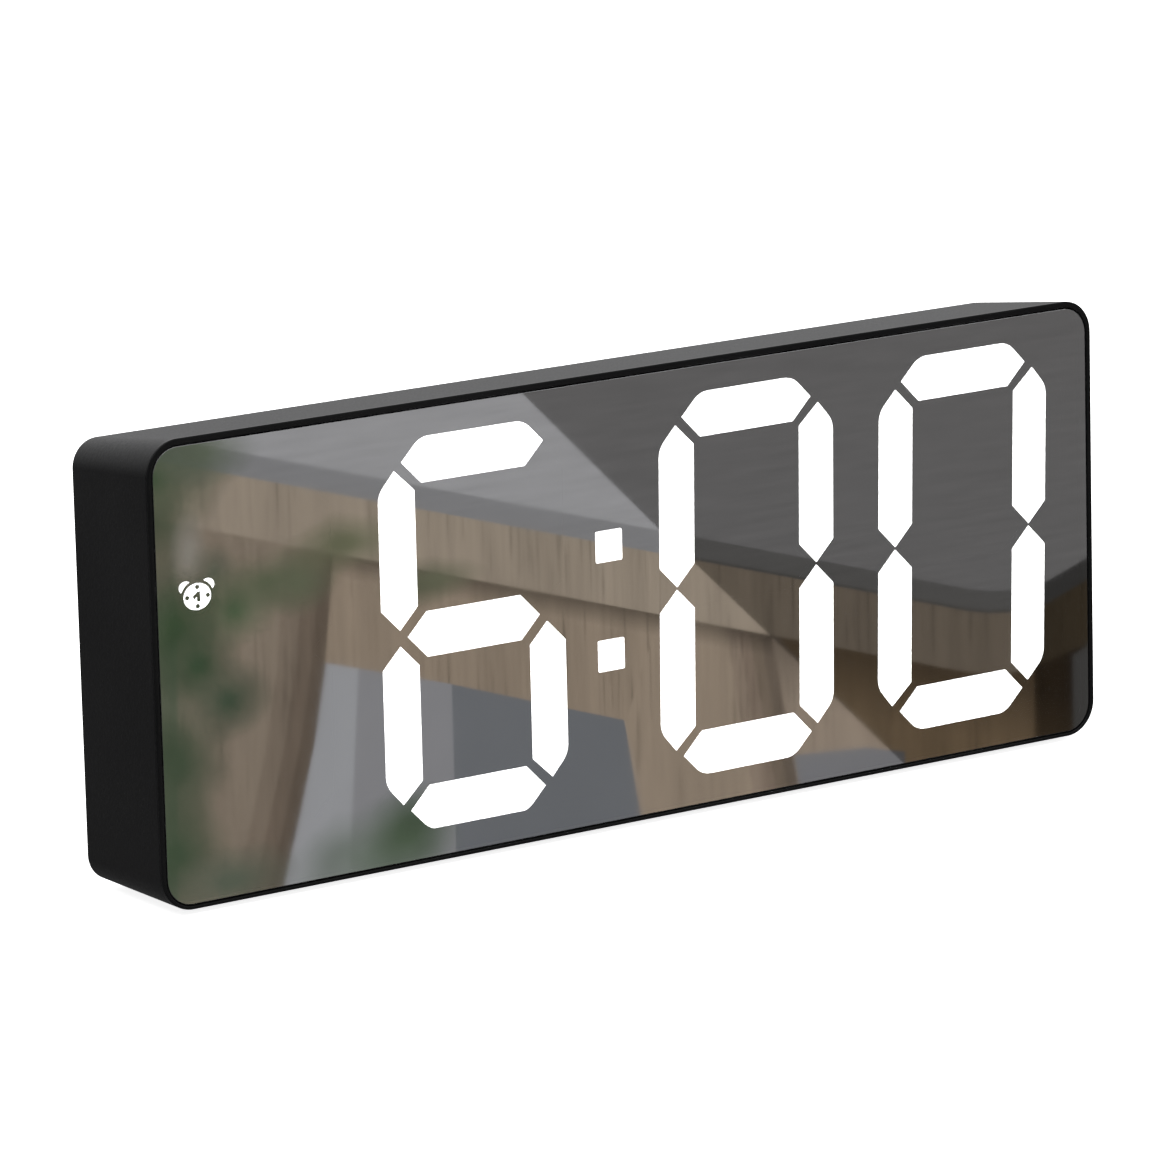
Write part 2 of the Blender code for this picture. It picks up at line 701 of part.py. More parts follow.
def hinge_line():
    """Depth and height of the battery door's hinge axis."""
    return TOTAL_DEPTH - DOOR_THICKNESS / 2, DOOR_LOW + DOOR_THICKNESS / 2


def battery_door(finish):
    """The door: a panel with a rounded lower edge, hinge pins and a snap latch on a bending tongue."""
    depth, height = hinge_line()
    half = DOOR_THICKNESS / 2
    section = []
    for step in range(9):
        angle = math.radians(180 + 180 * step / 8)
        section.append((depth + half * math.cos(angle), height + half * math.sin(angle)))
    section += [(depth + half, DOOR_HIGH), (depth - half, DOOR_HIGH)]
    bm = bmesh.new()
    add_skin(bm, [[place(x, d, h) for d, h in section] for x in (-DOOR_HALF_WIDTH, DOOR_HALF_WIDTH)])
    origin = place(0, depth, height)
    door = add_object("battery_door", bm, finish, origin)
    reach = DOOR_HALF_WIDTH + HINGE_PIN_LENGTH
    pins = []
    for side in (-1, 1):
        profile = [(HINGE_PIN_RADIUS, side * (DOOR_HALF_WIDTH - 1)), (HINGE_PIN_RADIUS, side * reach)]
        pins.append(turned(f"door_pin_{side}", (0, depth, height), (1, 0, 0), profile, steps=16))
    latch = box("door_latch", (-2.8, 2.8), (TOTAL_DEPTH - 1.5, TOTAL_DEPTH - 0.7), (DOOR_HIGH - 0.5, DOOR_HIGH + 0.8))
    fuse(door, *pins, latch)
    deep = (TOTAL_DEPTH - 3, TOTAL_DEPTH + 1)
    for side in (-1, 1):
        span = sorted((side * 5.0, side * 5.8))
        cut(door, box(f"tongue_slot_{side}", span, deep, (DOOR_HIGH - 8, DOOR_HIGH + 2)))
    groove_layer = (TOTAL_DEPTH - 0.4, TOTAL_DEPTH + 1)
    for index in range(3):
        low = DOOR_HIGH - 6.2 + 1.6 * index
        cut(door, box(f"grip_groove_{index + 1}", (-4.0, 4.0), groove_layer, (low, low + 0.7)))


def cell_sides():
    """Each cell's name, height and the side that its raised pole points to."""
    return (("lower", CELL_HEIGHTS[0], 1), ("middle", CELL_HEIGHTS[1], -1), ("upper", CELL_HEIGHTS[2], 1))


def contact_face():
    """Distance from the middle to the face of the contact plates."""
    return BAY_HALF_WIDTH - CLEARANCE - 0.4


def battery_cells(finish):
    for name, height, side in cell_sides():
        nub_end = contact_face() - CLEARANCE
        start = (nub_end - CELL_LENGTH) * side
        profile = [
            (4.6, 0),
            (5.0, 0.15),
            (CELL_RADIUS, 0.5),
            (CELL_RADIUS, 43.0),
            (4.8, 43.4),
            (1.9, 43.5),
            (1.9, 44.4),
            (1.7, CELL_LENGTH),
        ]
        turned(f"battery_cell_{name}", (start, CELL_DEPTH, height), (side, 0, 0), profile, finish)


def contact_plate(name, side, heights, finish, tab_height=None):
    """A nickel plate against one end of the bay, with a solder tab through the wall where a lead joins it."""
    near = side * contact_face()
    far = side * (contact_face() + 0.4)
    span = sorted((near, far))
    plate = box(name, span, (16.2, 24.9), (min(heights) - 4.4, max(heights) + 4.4), finish)
    if tab_height is not None:
        reach = side * (BAY_HALF_WIDTH + BAY_WALL + 1.2)
        tab_span = sorted((side * (contact_face() + 0.1), reach))
        fuse(plate, box(f"{name}_tab", tab_span, (16.4, 16.8), (tab_height - 1.0, tab_height + 1.0)))


def coil_spring(name, side, height, finish):
    """A conical contact spring: wire swept along a closing spiral, its wide end at the plate."""
    wire = 0.3
    turns = 3.5
    wide, narrow = 3.4, 2.0
    start = contact_face() - CLEARANCE - wire
    end = start - (contact_face() * 2 - CELL_LENGTH - 3 * CLEARANCE) + 2 * wire
    steps = int(turns * 12)
    points = []
    for step in range(steps + 1):
        share = step / steps
        angle = 2 * math.pi * turns * share
        radius = wide + (narrow - wide) * share
        x = side * (start + (end - start) * share)
        points.append(place(x, CELL_DEPTH + radius * math.cos(angle), height + radius * math.sin(angle)))
    tube(name, points, wire, finish, sides=5)


def tube(name, points, radius, finish, sides):
    """A round tube along points, with flat ends. Each ring is square to the path."""
    rings = []
    across = None
    for index, point in enumerate(points):
        before = points[max(index - 1, 0)]
        after = points[min(index + 1, len(points) - 1)]
        along = (after - before).normalized()
        if across is None:
            across = along.orthogonal().normalized()
        across = (across - along * across.dot(along)).normalized()
        other = along.cross(across)
        ring = []
        for step in range(sides):
            angle = 2 * math.pi * step / sides
            ring.append(point + (across * math.cos(angle) + other * math.sin(angle)) * radius * MM)
        rings.append(ring)
    bm = bmesh.new()
    add_skin(bm, rings)
    return add_object(name, bm, finish)


def smooth_path(guides, steps):
    """Points on a Catmull-Rom curve through the guide points."""
    padded = [guides[0] * 2 - guides[1]] + guides + [guides[-1] * 2 - guides[-2]]
    points = []
    for a, b, c, d in zip(padded, padded[1:], padded[2:], padded[3:]):
        for step in range(steps):
            t = step / steps
            linear = (c - a) * t
            square = (a * 2 - b * 5 + c * 4 - d) * t * t
            cube = (b * 3 - a - c * 3 + d) * t * t * t
            points.append((b * 2 + linear + square + cube) / 2)
    points.append(guides[-1])
    return points


def battery_leads(red, black):
    """Short leads from the solder tabs to the board."""
    low, _, high = CELL_HEIGHTS
    tab = BAY_HALF_WIDTH + BAY_WALL + 1.2 + CLEARANCE
    for name, side, height, drop, finish in (
        ("battery_lead_black", -1, low, 2.0, black),
        ("battery_lead_red", 1, high, -3.0, red),
    ):
        guides = [
            place(side * tab, 16.6, height),
            place(side * (tab + 2.0), 17.0, height + drop * 0.1),
            place(side * (tab + 5.0), 16.2, height - drop),
            place(side * (tab + 6.6), 14.0, height - drop * 1.4),
            place(side * (tab + 6.8), BOARD_TOP, height - drop * 1.4),
        ]
        tube(name, smooth_path(guides, 4), 0.55, finish, sides=8)


def battery_contacts(finish):
    low, middle, high = CELL_HEIGHTS
    contact_plate("contact_negative", -1, (low,), finish, tab_height=low)
    contact_plate("contact_bridge_right", 1, (low, middle), finish)
    contact_plate("contact_bridge_left", -1, (middle, high), finish)
    contact_plate("contact_positive", 1, (high,), finish, tab_height=high)
    for name, height, side in cell_sides():
        coil_spring(f"contact_spring_{name}", -side, height, finish)


def build():
    clear_scene()
    case_plastic = material("case_plastic", BLACK, 0.55)
    key_plastic = material("key_plastic", DARK, 0.6)
    mirror = material("half_mirror", (0.35, 0.35, 0.36, 1.0), 0.03, 1.0)
    tape = material("black_tape", DARK, 0.9)
    film = material("printed_film", (0.01, 0.01, 0.01, 1.0), 0.5)
    diffuser = material("diffuser", WHITE, 0.4)
    white_plastic = material("white_plastic", WHITE, 0.5)
    board = material("board_laminate", GREEN, 0.4)
    resin = material("black_resin", (0.015, 0.015, 0.015, 1.0), 0.6)
    steel = material("steel", STEEL, 0.3, 1.0)
    nickel = material("nickel", NICKEL, 0.25, 1.0)
    nub = material("switch_nub", (0.03, 0.03, 0.03, 1.0), 0.5)
    cell = material("cell_jacket", (0.05, 0.12, 0.22, 1.0), 0.35, 0.6)
    rubber = material("rubber", (0.02, 0.02, 0.02, 1.0), 0.9)
    sleeve = material("capacitor_sleeve", (0.02, 0.03, 0.09, 1.0), 0.4)
    red = material("red_insulation", (0.5, 0.02, 0.02, 1.0), 0.5)
    black = material("black_insulation", (0.015, 0.015, 0.015, 1.0), 0.5)

    front_housing(case_plastic)
    feet(rubber)
    mirror_lens(mirror)
    lens_tape(tape)
    display_stack(film, diffuser, white_plastic)
    main_board(board)
    chips(resin, steel, resin, sleeve)
    usb_socket(steel, resin)
    switches_and_keys(resin, nub, key_plastic)
    rear_cover(case_plastic)
    battery_door(case_plastic)
    battery_cells(cell)
    battery_contacts(nickel)
    battery_leads(red, black)
    screws(steel)


build()
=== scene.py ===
"""The looks of the mirror alarm clock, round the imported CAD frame.

Places on the clock are given as in the CAD source: x to the right seen from the front, depth behind the
front rim and height above the case's lowest edge, all in millimetres. at() turns them into the frame's
metres. Shader grains are given by their scale, in features per metre of the clock.
"""
import math

import bmesh
import bpy
from mathutils import Matrix, Vector

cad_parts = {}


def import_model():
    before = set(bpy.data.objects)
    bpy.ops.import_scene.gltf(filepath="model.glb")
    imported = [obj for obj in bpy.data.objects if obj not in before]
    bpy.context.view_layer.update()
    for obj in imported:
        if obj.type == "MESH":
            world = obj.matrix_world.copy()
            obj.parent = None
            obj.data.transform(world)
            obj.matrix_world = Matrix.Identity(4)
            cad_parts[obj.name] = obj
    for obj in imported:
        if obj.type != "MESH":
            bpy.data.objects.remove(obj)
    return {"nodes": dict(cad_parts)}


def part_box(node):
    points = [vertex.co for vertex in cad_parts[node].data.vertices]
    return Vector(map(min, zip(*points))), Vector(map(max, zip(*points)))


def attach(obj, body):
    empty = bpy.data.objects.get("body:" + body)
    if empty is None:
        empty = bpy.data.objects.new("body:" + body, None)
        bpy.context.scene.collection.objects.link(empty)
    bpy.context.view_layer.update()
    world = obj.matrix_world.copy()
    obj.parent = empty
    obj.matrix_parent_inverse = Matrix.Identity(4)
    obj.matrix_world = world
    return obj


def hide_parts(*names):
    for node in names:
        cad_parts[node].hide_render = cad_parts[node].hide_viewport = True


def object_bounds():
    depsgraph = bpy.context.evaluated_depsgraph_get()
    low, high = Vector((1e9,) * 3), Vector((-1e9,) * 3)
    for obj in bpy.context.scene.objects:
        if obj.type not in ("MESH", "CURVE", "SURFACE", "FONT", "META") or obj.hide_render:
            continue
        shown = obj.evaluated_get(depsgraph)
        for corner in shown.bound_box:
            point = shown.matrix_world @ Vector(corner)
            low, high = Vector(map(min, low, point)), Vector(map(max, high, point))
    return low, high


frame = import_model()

CAD_LOW, CAD_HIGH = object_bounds()
MM = 0.001
FRONT = CAD_LOW.y
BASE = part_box("front_housing")[0].z

# Case, in step with the CAD source
CASE_WIDTH = 163.0
CASE_HEIGHT = 65.0
CASE_DEPTH = 21.0
TOTAL_DEPTH = 28.0
SIDE_DRAFT = 1.1
TOP_DRAFT = 2.75
BOTTOM_DRAFT = 0.3
FRONT_CORNER = 4.93
REAR_CORNER = 3.98
WALL = 1.5
LIP = 0.75
LEDGE_INSET = 2.9
LEDGE_LAYER = (2.4, 4.1)
LENS_INSET = 0.95
LENS_LAYER = (0.2, 1.7)
LENS_DROP = 0.2
BORDER_INSET = 4.3
SHELL_INSET = 0.03
EDGE_RADIUS = 0.22
LIP_RADIUS = 0.17
LENS_EDGE = 0.07
CORNER_STEPS = 18
PLATE_FRONT = 19.2

# Display
DIGIT_WIDTH = 30.8
BAR_HEIGHT = 6.4
STROKE = 6.02
BAR_TIP = 4.02
POST_TIP = 4.25
POST_TIP_SHIFT = 0.25
MIDDLE_TIP = 4.3
WAIST_GAP = 0.4
# Each digit's left edge, lowest and highest edge, lean to the right, rise along its row, and how far the
# pointed ends of its upright segments lean further
DIGITS = {
    "hour": {"left": -43.4, "low": 4.15, "high": 59.6, "lean": 0.001, "rise": 0.0, "tip_lean": 0.0},
    "ten_minute": {"left": 3.97, "low": 4.5, "high": 59.75, "lean": 0.018, "rise": 0.004, "tip_lean": 0.12},
    "minute": {"left": 43.1, "low": 4.92, "high": 59.82, "lean": 0.024, "rise": 0.004, "tip_lean": 0.2},
}
HOUR_WAIST_GAP = 2.3
HOUR_TOP_TAIL = 1.0
COLON_X = -4.74
COLON_SIDE = 4.5
COLON_HEIGHTS = (24.25, 39.9)
SHOULDER = 3.4
SOFT_CORNER = 0.18
LIT_LAYER = (1.8, 1.95)
DOT_CORNER = 0.25
CHIP_HALF_SIZE = (0.8, 0.6)
CHIP_LAYER = (9.8, 10.42)
CHIP_LENS_RADIUS = 0.45
CHIP_LENS_LAYER = (9.74, 9.79)
POST_CHIP_OFFSETS = (8.0, 18.0)
BAR_CHIP_OFFSET = 5.0

# The alarm sign: a face with two bells, all measured from the middle of the sign
ICON_X = -73.12
ICON_HEIGHT = 42.74
FACE_DROP = 0.15
FACE_SIZE = (2.2, 1.85)
GAP_SIZE = (2.62, 2.3)
BELL_PLACE = (1.78, 1.25)
BELL_SIZE = (1.05, 0.88)
MARK_REACH = (1.66, 1.32)
MARK_SIZE = (0.32, 0.3)
HAND_WIDTHS = (0.5, 0.48)
SIGN_LAYERS = {
    "bells": (1.93, 1.97),
    "gap": (1.88, 1.92),
    "face": (1.83, 1.87),
    "marks": (1.78, 1.82),
    "hands": (1.76, 1.775),
}

# Rear
KEY_NAMES = ("mode", "set", "up", "down", "alarm")
KEY_SPACING = 15.0
KEY_HEIGHT = 55.4
KEY_RADIUS = 3.2
KEY_FLANGE_RADIUS = 4.3
KEY_FRONT = 17.9
KEY_RISE = 4.3
KEY_RIM = 0.4
KEY_DISH = 0.16
ARROW_HEIGHT = 30.2
ARROW_STEP = 1.5
ARROW_DEPTH = 0.3
CELL_RADIUS = 5.25
CELL_LENGTH = 44.5
CELL_DEPTH = 20.55
CELL_HEIGHTS = (13.85, 24.75, 35.65)
CONTACT_FACE = 24.8
FACE_GAP = 0.3
USB_X = 62.0
USB_HEIGHT = 14.0
USB_HALF_WIDTH = 4.47
USB_HALF_HEIGHT = 1.63
CASE_SCREW_X = 75.8
CASE_SCREW_HEIGHTS = (5.4, 57.2)
BOSS_RADIUS = 2.4
BOSS_OVERLAP = 0.6
RIB_HALF_WIDTH = 0.8
SCREW_HOLE_RADIUS = 1.2
SCREW_HOLE_DEPTH = 9
SEAT_THICKNESS = 0.8
HEAD_RADIUS = 1.75
THREAD_PITCH = 0.4
THREAD_TURNS = 16

# Feet
FOOT_X = 66.0
FOOT_DEPTHS = (7.0, 16.0)
FOOT_RADIUS = 3.5
FOOT_STAND = 0.8
FOOT_POCKET_RADIUS = 3.8

# Camera
CAMERA_PLACE = Vector((-0.58135, -0.81471, 0.24597))
CAMERA_AZIMUTH = 35.496
CAMERA_ELEVATION = 11.982
CAMERA_ROLL = -1.437
CAMERA_LENS = 221.75

# The half mirror's cover and tint, whose product is the share of light that it reflects
MIRROR_ALPHA = 0.55
MIRROR_TONE = 0.62

WHITE = (1.0, 1.0, 1.0, 1.0)
# Nearly all of a noise's values lie between these
NOISE_SPAN = (0.3, 0.7)


def at(x, depth, height):
    return Vector((x * MM, FRONT + depth * MM, BASE + height * MM))


# ---------------------------------------------------------------- materials

class Shading:
    """The node tree of a material or of the world, with short calls to add to it."""

    def __init__(self, owner, coordinates="Object"):
        owner.use_nodes = True
        self.owner = owner
        self.tree = owner.node_tree
        self.shader = self.tree.nodes.get("Principled BSDF")
        self.place = self.node("ShaderNodeTexCoord").outputs[coordinates]

    def put(self, value, socket):
        """Give a socket a value, or link it to another one."""
        if isinstance(value, bpy.types.NodeSocket):
            self.tree.links.new(value, socket)
        else:
            socket.default_value = value

    def fill(self, node, **values):
        """Give a node's inputs these values. An underscore stands for a space in an input's name."""
        for name, value in values.items():
            self.put(value, node.inputs[name.replace("_", " ")])
        return node

    def set(self, **values):
        self.fill(self.shader, **values)

    def node(self, kind, **values):
        return self.fill(self.tree.nodes.new(kind), **values)

    def calculation(self, kind, operation, values):
        node = self.node(kind)
        node.operation = operation
        for value, socket in zip(values, node.inputs):
            self.put(value, socket)
        return node

    def math(self, operation, *values):
        return self.calculation("ShaderNodeMath", operation, values).outputs["Value"]

    def vector_math(self, operation, *values, result="Vector"):
        return self.calculation("ShaderNodeVectorMath", operation, values).outputs[result]

    def stretched(self, factors, turn=(0.0, 0.0, 0.0)):
        """The object's coordinates, scaled along each axis and then turned."""
        node = self.node("ShaderNodeMapping", Vector=self.place, Scale=factors, Rotation=turn)
        return node.outputs["Vector"]

    def axis(self, name):
        return self.node("ShaderNodeSeparateXYZ", Vector=self.place).outputs[name]

    def noise(self, scale, detail=2.0, vector=None, rough=0.5):
        node = self.node("ShaderNodeTexNoise", Scale=scale, Detail=detail, Roughness=rough)
        self.put(vector or self.place, node.inputs["Vector"])
        return node.outputs["Fac"]

    def ramp(self, value, stops):
        """A colour for each value. stops are (place, colour)."""
        node = self.node("ShaderNodeValToRGB", Fac=value)
        elements = node.color_ramp.elements
        while len(elements) < len(stops):
            elements.new(0.5)
        for element, (position, colour) in zip(elements, stops):
            element.position = position
            element.color = (*colour, 1.0)
        return node.outputs["Color"]

    def span(self, value, start, end, low, high):
        """value moved from start..end to low..high, and held there."""
        node = self.node("ShaderNodeMapRange", Value=value, From_Min=start, From_Max=end)
        return self.fill(node, To_Min=low, To_Max=high).outputs["Result"]

    def blend(self, noise, darker, lighter):
        """A colour that goes from darker to lighter with a noise."""
        return self.ramp(noise, list(zip(NOISE_SPAN, (darker, lighter))))

    def swing(self, noise, low, high):
        """A value that goes from low to high with a noise."""
        return self.span(noise, *NOISE_SPAN, low, high)

    def bump(self, height, distance):
        return self.node("ShaderNodeBump", Height=height, Distance=distance).outputs["Normal"]

    def glow(self, **values):
        return self.node("ShaderNodeEmission", **values).outputs["Emission"]

    def clear(self, colour):
        return self.node("ShaderNodeBsdfTransparent", Color=colour).outputs["BSDF"]

    def mixed(self, share, first, second):
        """A shader that is first where share is 0 and second where it is 1."""
        node = self.node("ShaderNodeMixShader")
        for value, socket in zip((share, first, second), node.inputs):
            self.put(value, socket)
        return node.outputs["Shader"]

    def show(self, shader, output="Material Output"):
        """Make this shader the surface."""
        self.put(shader, self.tree.nodes[output].inputs["Surface"])
        return self.owner


def material(name):
    return Shading(bpy.data.materials.new(name))


def card_material(name):
    """Shading for a card, without the usual shader."""
    s = material(name)
    s.tree.nodes.remove(s.shader)
    return s


def shade(colour, factor):
    return tuple(min(channel * factor, 1.0) for channel in colour)


def surface(name, colour, roughness, metallic=0.0, grain=2500.0, relief=8e-6, vary=0.12, gloss=0.5):
    """A surface whose colour and gloss vary a little, over a fine grain."""
    s = material(name)
    wide = s.noise(90.0, 3.0)
    fine = s.noise(grain, 2.0)
    s.set(
        Base_Color=s.blend(wide, shade(colour, 1 - vary), shade(colour, 1 + vary)),
        Roughness=s.swing(fine, max(roughness - 0.05, 0.02), min(roughness + 0.05, 1.0)),
        Normal=s.bump(fine, relief),
        Metallic=metallic,
        Specular_IOR_Level=gloss,
    )
    return s.owner


def case_plastic():
    """Black moulded plastic with a spark-eroded grain, polished on the narrow front rim."""
    s = material("case_plastic")
    wide = s.noise(45.0, 3.0)
    grain = s.noise(3200.0, 2.0, rough=0.6)
    pebble = s.noise(1500.0, 1.0)
    depth = s.axis("Y")
    matt = s.span(depth, FRONT + 0.2 * MM, FRONT + 1.0 * MM, 0.0, 1.0)
    rough = s.swing(grain, 0.36, 0.46)
    rough = s.math("MULTIPLY", rough, matt)
    polish = s.math("MULTIPLY", s.math("SUBTRACT", 1.0, matt), 0.16)
    relief = s.math("MULTIPLY", s.math("ADD", grain, pebble), matt)
    s.set(
        Base_Color=s.blend(wide, (0.0032, 0.0032, 0.0034), (0.0044, 0.0044, 0.0046)),
        Roughness=s.math("ADD", rough, polish),
        Normal=s.bump(relief, 1.6e-5),
        Specular_IOR_Level=s.span(depth, FRONT + 0.15 * MM, FRONT + 0.9 * MM, 0.06, 0.27),
    )
    return s.owner


def half_mirror():
    """The lens's coated face: a neutral mirror that lets part of the light through."""
    s = material("half_mirror")
    smudge = s.noise(38.0, 4.0, rough=0.6)
    wave = s.noise(11.0, 1.0)
    s.set(
        Base_Color=(MIRROR_TONE, MIRROR_TONE, MIRROR_TONE * 1.01, 1.0),
        Metallic=1.0,
        Alpha=MIRROR_ALPHA,
        Roughness=s.span(smudge, 0.35, 0.75, 0.008, 0.02),
        Normal=s.bump(wave, 3e-6),
    )
    return s.owner


def clear_back():
    """The lens's uncoated sides and back."""
    s = material("lens_back")
    dust = s.noise(700.0, 2.0)
    s.set(
        Base_Color=s.blend(dust, (0.010, 0.010, 0.011), (0.016, 0.016, 0.017)),
        Alpha=0.15,
        Roughness=s.swing(dust, 0.7, 0.9),
        Specular_IOR_Level=0.0,
    )
    return s.owner


def lit_film():
    """Diffusing film with the light on behind it."""
    s = material("lit_film")
    grain = s.noise(1800.0, 2.0)
    s.set(
        Base_Color=s.blend(grain, (0.85, 0.86, 0.88), (0.92, 0.93, 0.95)),
        Emission_Color=WHITE,
        Emission_Strength=4.2,
        Roughness=s.swing(grain, 0.4, 0.55),
    )
    return s.owner


def solder_mask():
    """Green lacquer over copper tracks."""
    s = material("board_laminate")
    upright = s.stretched((1.0, 1.0, 1.0), (math.radians(90), 0.0, 0.0))
    tracks = s.node("ShaderNodeTexBrick", Vector=upright, Scale=260.0, Mortar_Size=0.03)
    s.fill(tracks, Color1=(0.008, 0.085, 0.03, 1.0), Color2=(0.01, 0.1, 0.035, 1.0))
    s.fill(tracks, Mortar=(0.03, 0.2, 0.07, 1.0))
    s.set(Base_Color=tracks.outputs["Color"], Roughness=s.swing(s.noise(900.0), 0.25, 0.4))
    s.set(Normal=s.bump(tracks.outputs["Fac"], 1.5e-5))
    return s.owner


def brushed(name, colour, roughness, fineness):
    """Plated or drawn metal with lines of this fineness along each axis."""
    s = material(name)
    lines = s.noise(1.0, 3.0, s.stretched(fineness))
    wide = s.noise(300.0, 2.0)
    s.set(
        Base_Color=s.blend(wide, shade(colour, 0.86), shade(colour, 1.1)),
        Metallic=1.0,
        Roughness=s.swing(lines, roughness * 0.7, roughness * 1.3),
        Normal=s.bump(lines, 5e-6),
    )
    return s.owner


FINISH = {
    "case_plastic": case_plastic(),
    "key_plastic": surface("key_plastic", (0.011, 0.011, 0.012), 0.5, grain=2600.0, relief=9e-6),
    "key_print": surface("key_print", (0.62, 0.62, 0.6), 0.6, grain=3000.0),
    "half_mirror": half_mirror(),
    "lens_back": clear_back(),
    "lit_film": lit_film(),
    "black_print": surface("black_print", (0.002, 0.002, 0.002), 0.7, grain=2200.0, gloss=0.0),
    "black_tape": surface("black_tape", (0.01, 0.01, 0.01), 0.85, grain=1400.0, relief=2e-5),
    # Near-black diffuser: painted shade that keeps the unlit segment windows dark behind the mirror
    "diffuser": surface("diffuser", (0.002, 0.002, 0.002), 0.7, grain=1800.0, gloss=0.0),
    "white_plastic": surface("white_plastic", (0.78, 0.78, 0.76), 0.45, grain=2200.0, vary=0.04),
    "board_laminate": solder_mask(),
    "black_resin": surface("black_resin", (0.012, 0.012, 0.013), 0.55, grain=3500.0, relief=1.5e-5),
    "steel": brushed("steel", (0.6, 0.6, 0.61), 0.3, (900.0, 900.0, 9000.0)),
    "nickel": brushed("nickel", (0.66, 0.63, 0.58), 0.24, (1200.0, 9000.0, 1200.0)),
    "gold": brushed("gold", (0.85, 0.6, 0.22), 0.25, (1500.0, 400.0, 6000.0)),
    "cell_jacket": surface("cell_jacket", (0.03, 0.09, 0.2), 0.28, 0.5, grain=2000.0, relief=3e-6),
    "cell_band": surface("cell_band", (0.62, 0.63, 0.65), 0.3, 0.7, grain=2000.0, relief=3e-6),
    "rubber": surface("rubber", (0.012, 0.012, 0.012), 0.8, grain=1800.0, relief=2.5e-5),
    "capacitor_sleeve": surface("capacitor_sleeve", (0.012, 0.02, 0.07), 0.35, grain=1500.0),
    "red_insulation": surface("red_insulation", (0.42, 0.015, 0.012), 0.45, grain=2000.0),
    "black_insulation": surface("black_insulation", (0.012, 0.012, 0.012), 0.45, grain=2000.0),
    "phosphor": surface("phosphor", (0.85, 0.72, 0.2), 0.5, grain=2600.0),
}


# ---------------------------------------------------------------- mesh helpers

def add_skin(bm, rings, closed=False, bands=None):
    """Join rings of points into a skin, capped unless it closes on itself. bands are material indices."""
    loops = [[bm.verts.new(point) for point in ring] for ring in rings]
    pairs = list(zip(loops, loops[1:]))
    if closed:
        pairs.append((loops[-1], loops[0]))
    for index, (near, far) in enumerate(pairs):
        for i in range(len(near)):
            j = (i + 1) % len(near)
            face = bm.faces.new((near[i], near[j], far[j], far[i]))
            face.material_index = bands[index] if bands else 0
    if not closed:
        bm.faces.new(loops[0]).material_index = bands[0] if bands else 0
        bm.faces.new(loops[-1]).material_index = bands[-1] if bands else 0


def placed(name, data):
    """A new object in the scene."""
    made = bpy.data.objects.new(name, data)
    bpy.context.scene.collection.objects.link(made)
    return made


def link_mesh(name, bm):
    bmesh.ops.recalc_face_normals(bm, faces=bm.faces)
    mesh = bpy.data.meshes.new(name)
    bm.to_mesh(mesh)
    bm.free()
    return placed(name, mesh)


def skinned(name, rings, **options):
    """An object whose skin runs through these rings of points."""
    bm = bmesh.new()
    add_skin(bm, rings, **options)
    return link_mesh(name, bm)


def dress(made, *finishes, body="case", stands_for=None, sharp=35):
    """Give a piece its materials, its body and the CAD node that it stands for, which is hidden."""
    # Clearing sets every face back to the first material, so new meshes, which have bands, aren't cleared
    if made.data.materials:
        made.data.materials.clear()
    for finish in finishes:
        made.data.materials.append(FINISH[finish])
    made.data.shade_smooth()
    made.data.set_sharp_from_angle(angle=math.radians(sharp))
    level = made.modifiers.new("flat_faces", "WEIGHTED_NORMAL")
    level.keep_sharp = True
    level.weight = 100
    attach(made, body)
    if stands_for:
        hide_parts(stands_for)


def ring_at(outline, depth):
    return [at(x, depth, height) for x, height in outline]


def slab_into(bm, outline, layer, edge=0.0):
    """Add a flat piece with this outline to bm, with its rims softened by edge."""
    part = bmesh.new()
    add_skin(part, [ring_at(outline, depth) for depth in layer])
    if edge:
        bmesh.ops.recalc_face_normals(part, faces=part.faces)
        rims = [e for e in part.edges if e.calc_face_angle(0) > math.radians(60)]
        bmesh.ops.bevel(part, geom=rims, offset=edge * MM, segments=3, affect="EDGES", profile=0.5)
    mesh = bpy.data.meshes.new("part")
    part.to_mesh(mesh)
    part.free()
    bm.from_mesh(mesh)
    bpy.data.meshes.remove(mesh)


def slabs(name, outlines, layer, edge=0.0):
    """Flat islands with these outlines as one object."""
    bm = bmesh.new()
    for outline in outlines:
        slab_into(bm, outline, layer, edge)
    return link_mesh(name, bm)


def flat_pieces(name, outlines, layer, finish, body="case"):
    """Flat islands with these outlines as one dressed piece."""
    dress(slabs(name, outlines, layer), finish, body=body)


def rounded_outline(left, right, low, high, radius, steps=CORNER_STEPS):
    corners = (
        (right - radius, low + radius, -90),
        (right - radius, high - radius, 0),
        (left + radius, high - radius, 90),
        (left + radius, low + radius, 180),
    )
    points = []
    for x, height, start in corners:
        for step in range(steps + 1):
            angle = math.radians(start + 90 * step / steps)
            points.append((x + radius * math.cos(angle), height + radius * math.sin(angle)))
    return points


def rectangle(x_span, height_span):
    (left, right), (low, high) = x_span, height_span
    return [(left, low), (right, low), (right, high), (left, high)]


def ellipse(x, height, half_width, half_height, steps=40):
    angles = [2 * math.pi * step / steps for step in range(steps)]
    return [(x + half_width * math.cos(a), height + half_height * math.sin(a)) for a in angles]


def case_outline(depth, inset):
    """The drafted case's outline at a depth, moved inwards by inset."""
    share = depth / CASE_DEPTH
    half = CASE_WIDTH / 2 - SIDE_DRAFT * share - inset
    low = BOTTOM_DRAFT * share + inset
    high = CASE_HEIGHT - TOP_DRAFT * share - inset
    radius = FRONT_CORNER + (REAR_CORNER - FRONT_CORNER) * share - inset
    return rounded_outline(-half, half, low, high, max(radius, 0.4))


def front_outline(inset):
    """The outline of the front opening and of what sits in it, which lies a little low in the front."""
    return [(x, height - LENS_DROP) for x, height in case_outline(0, inset)]


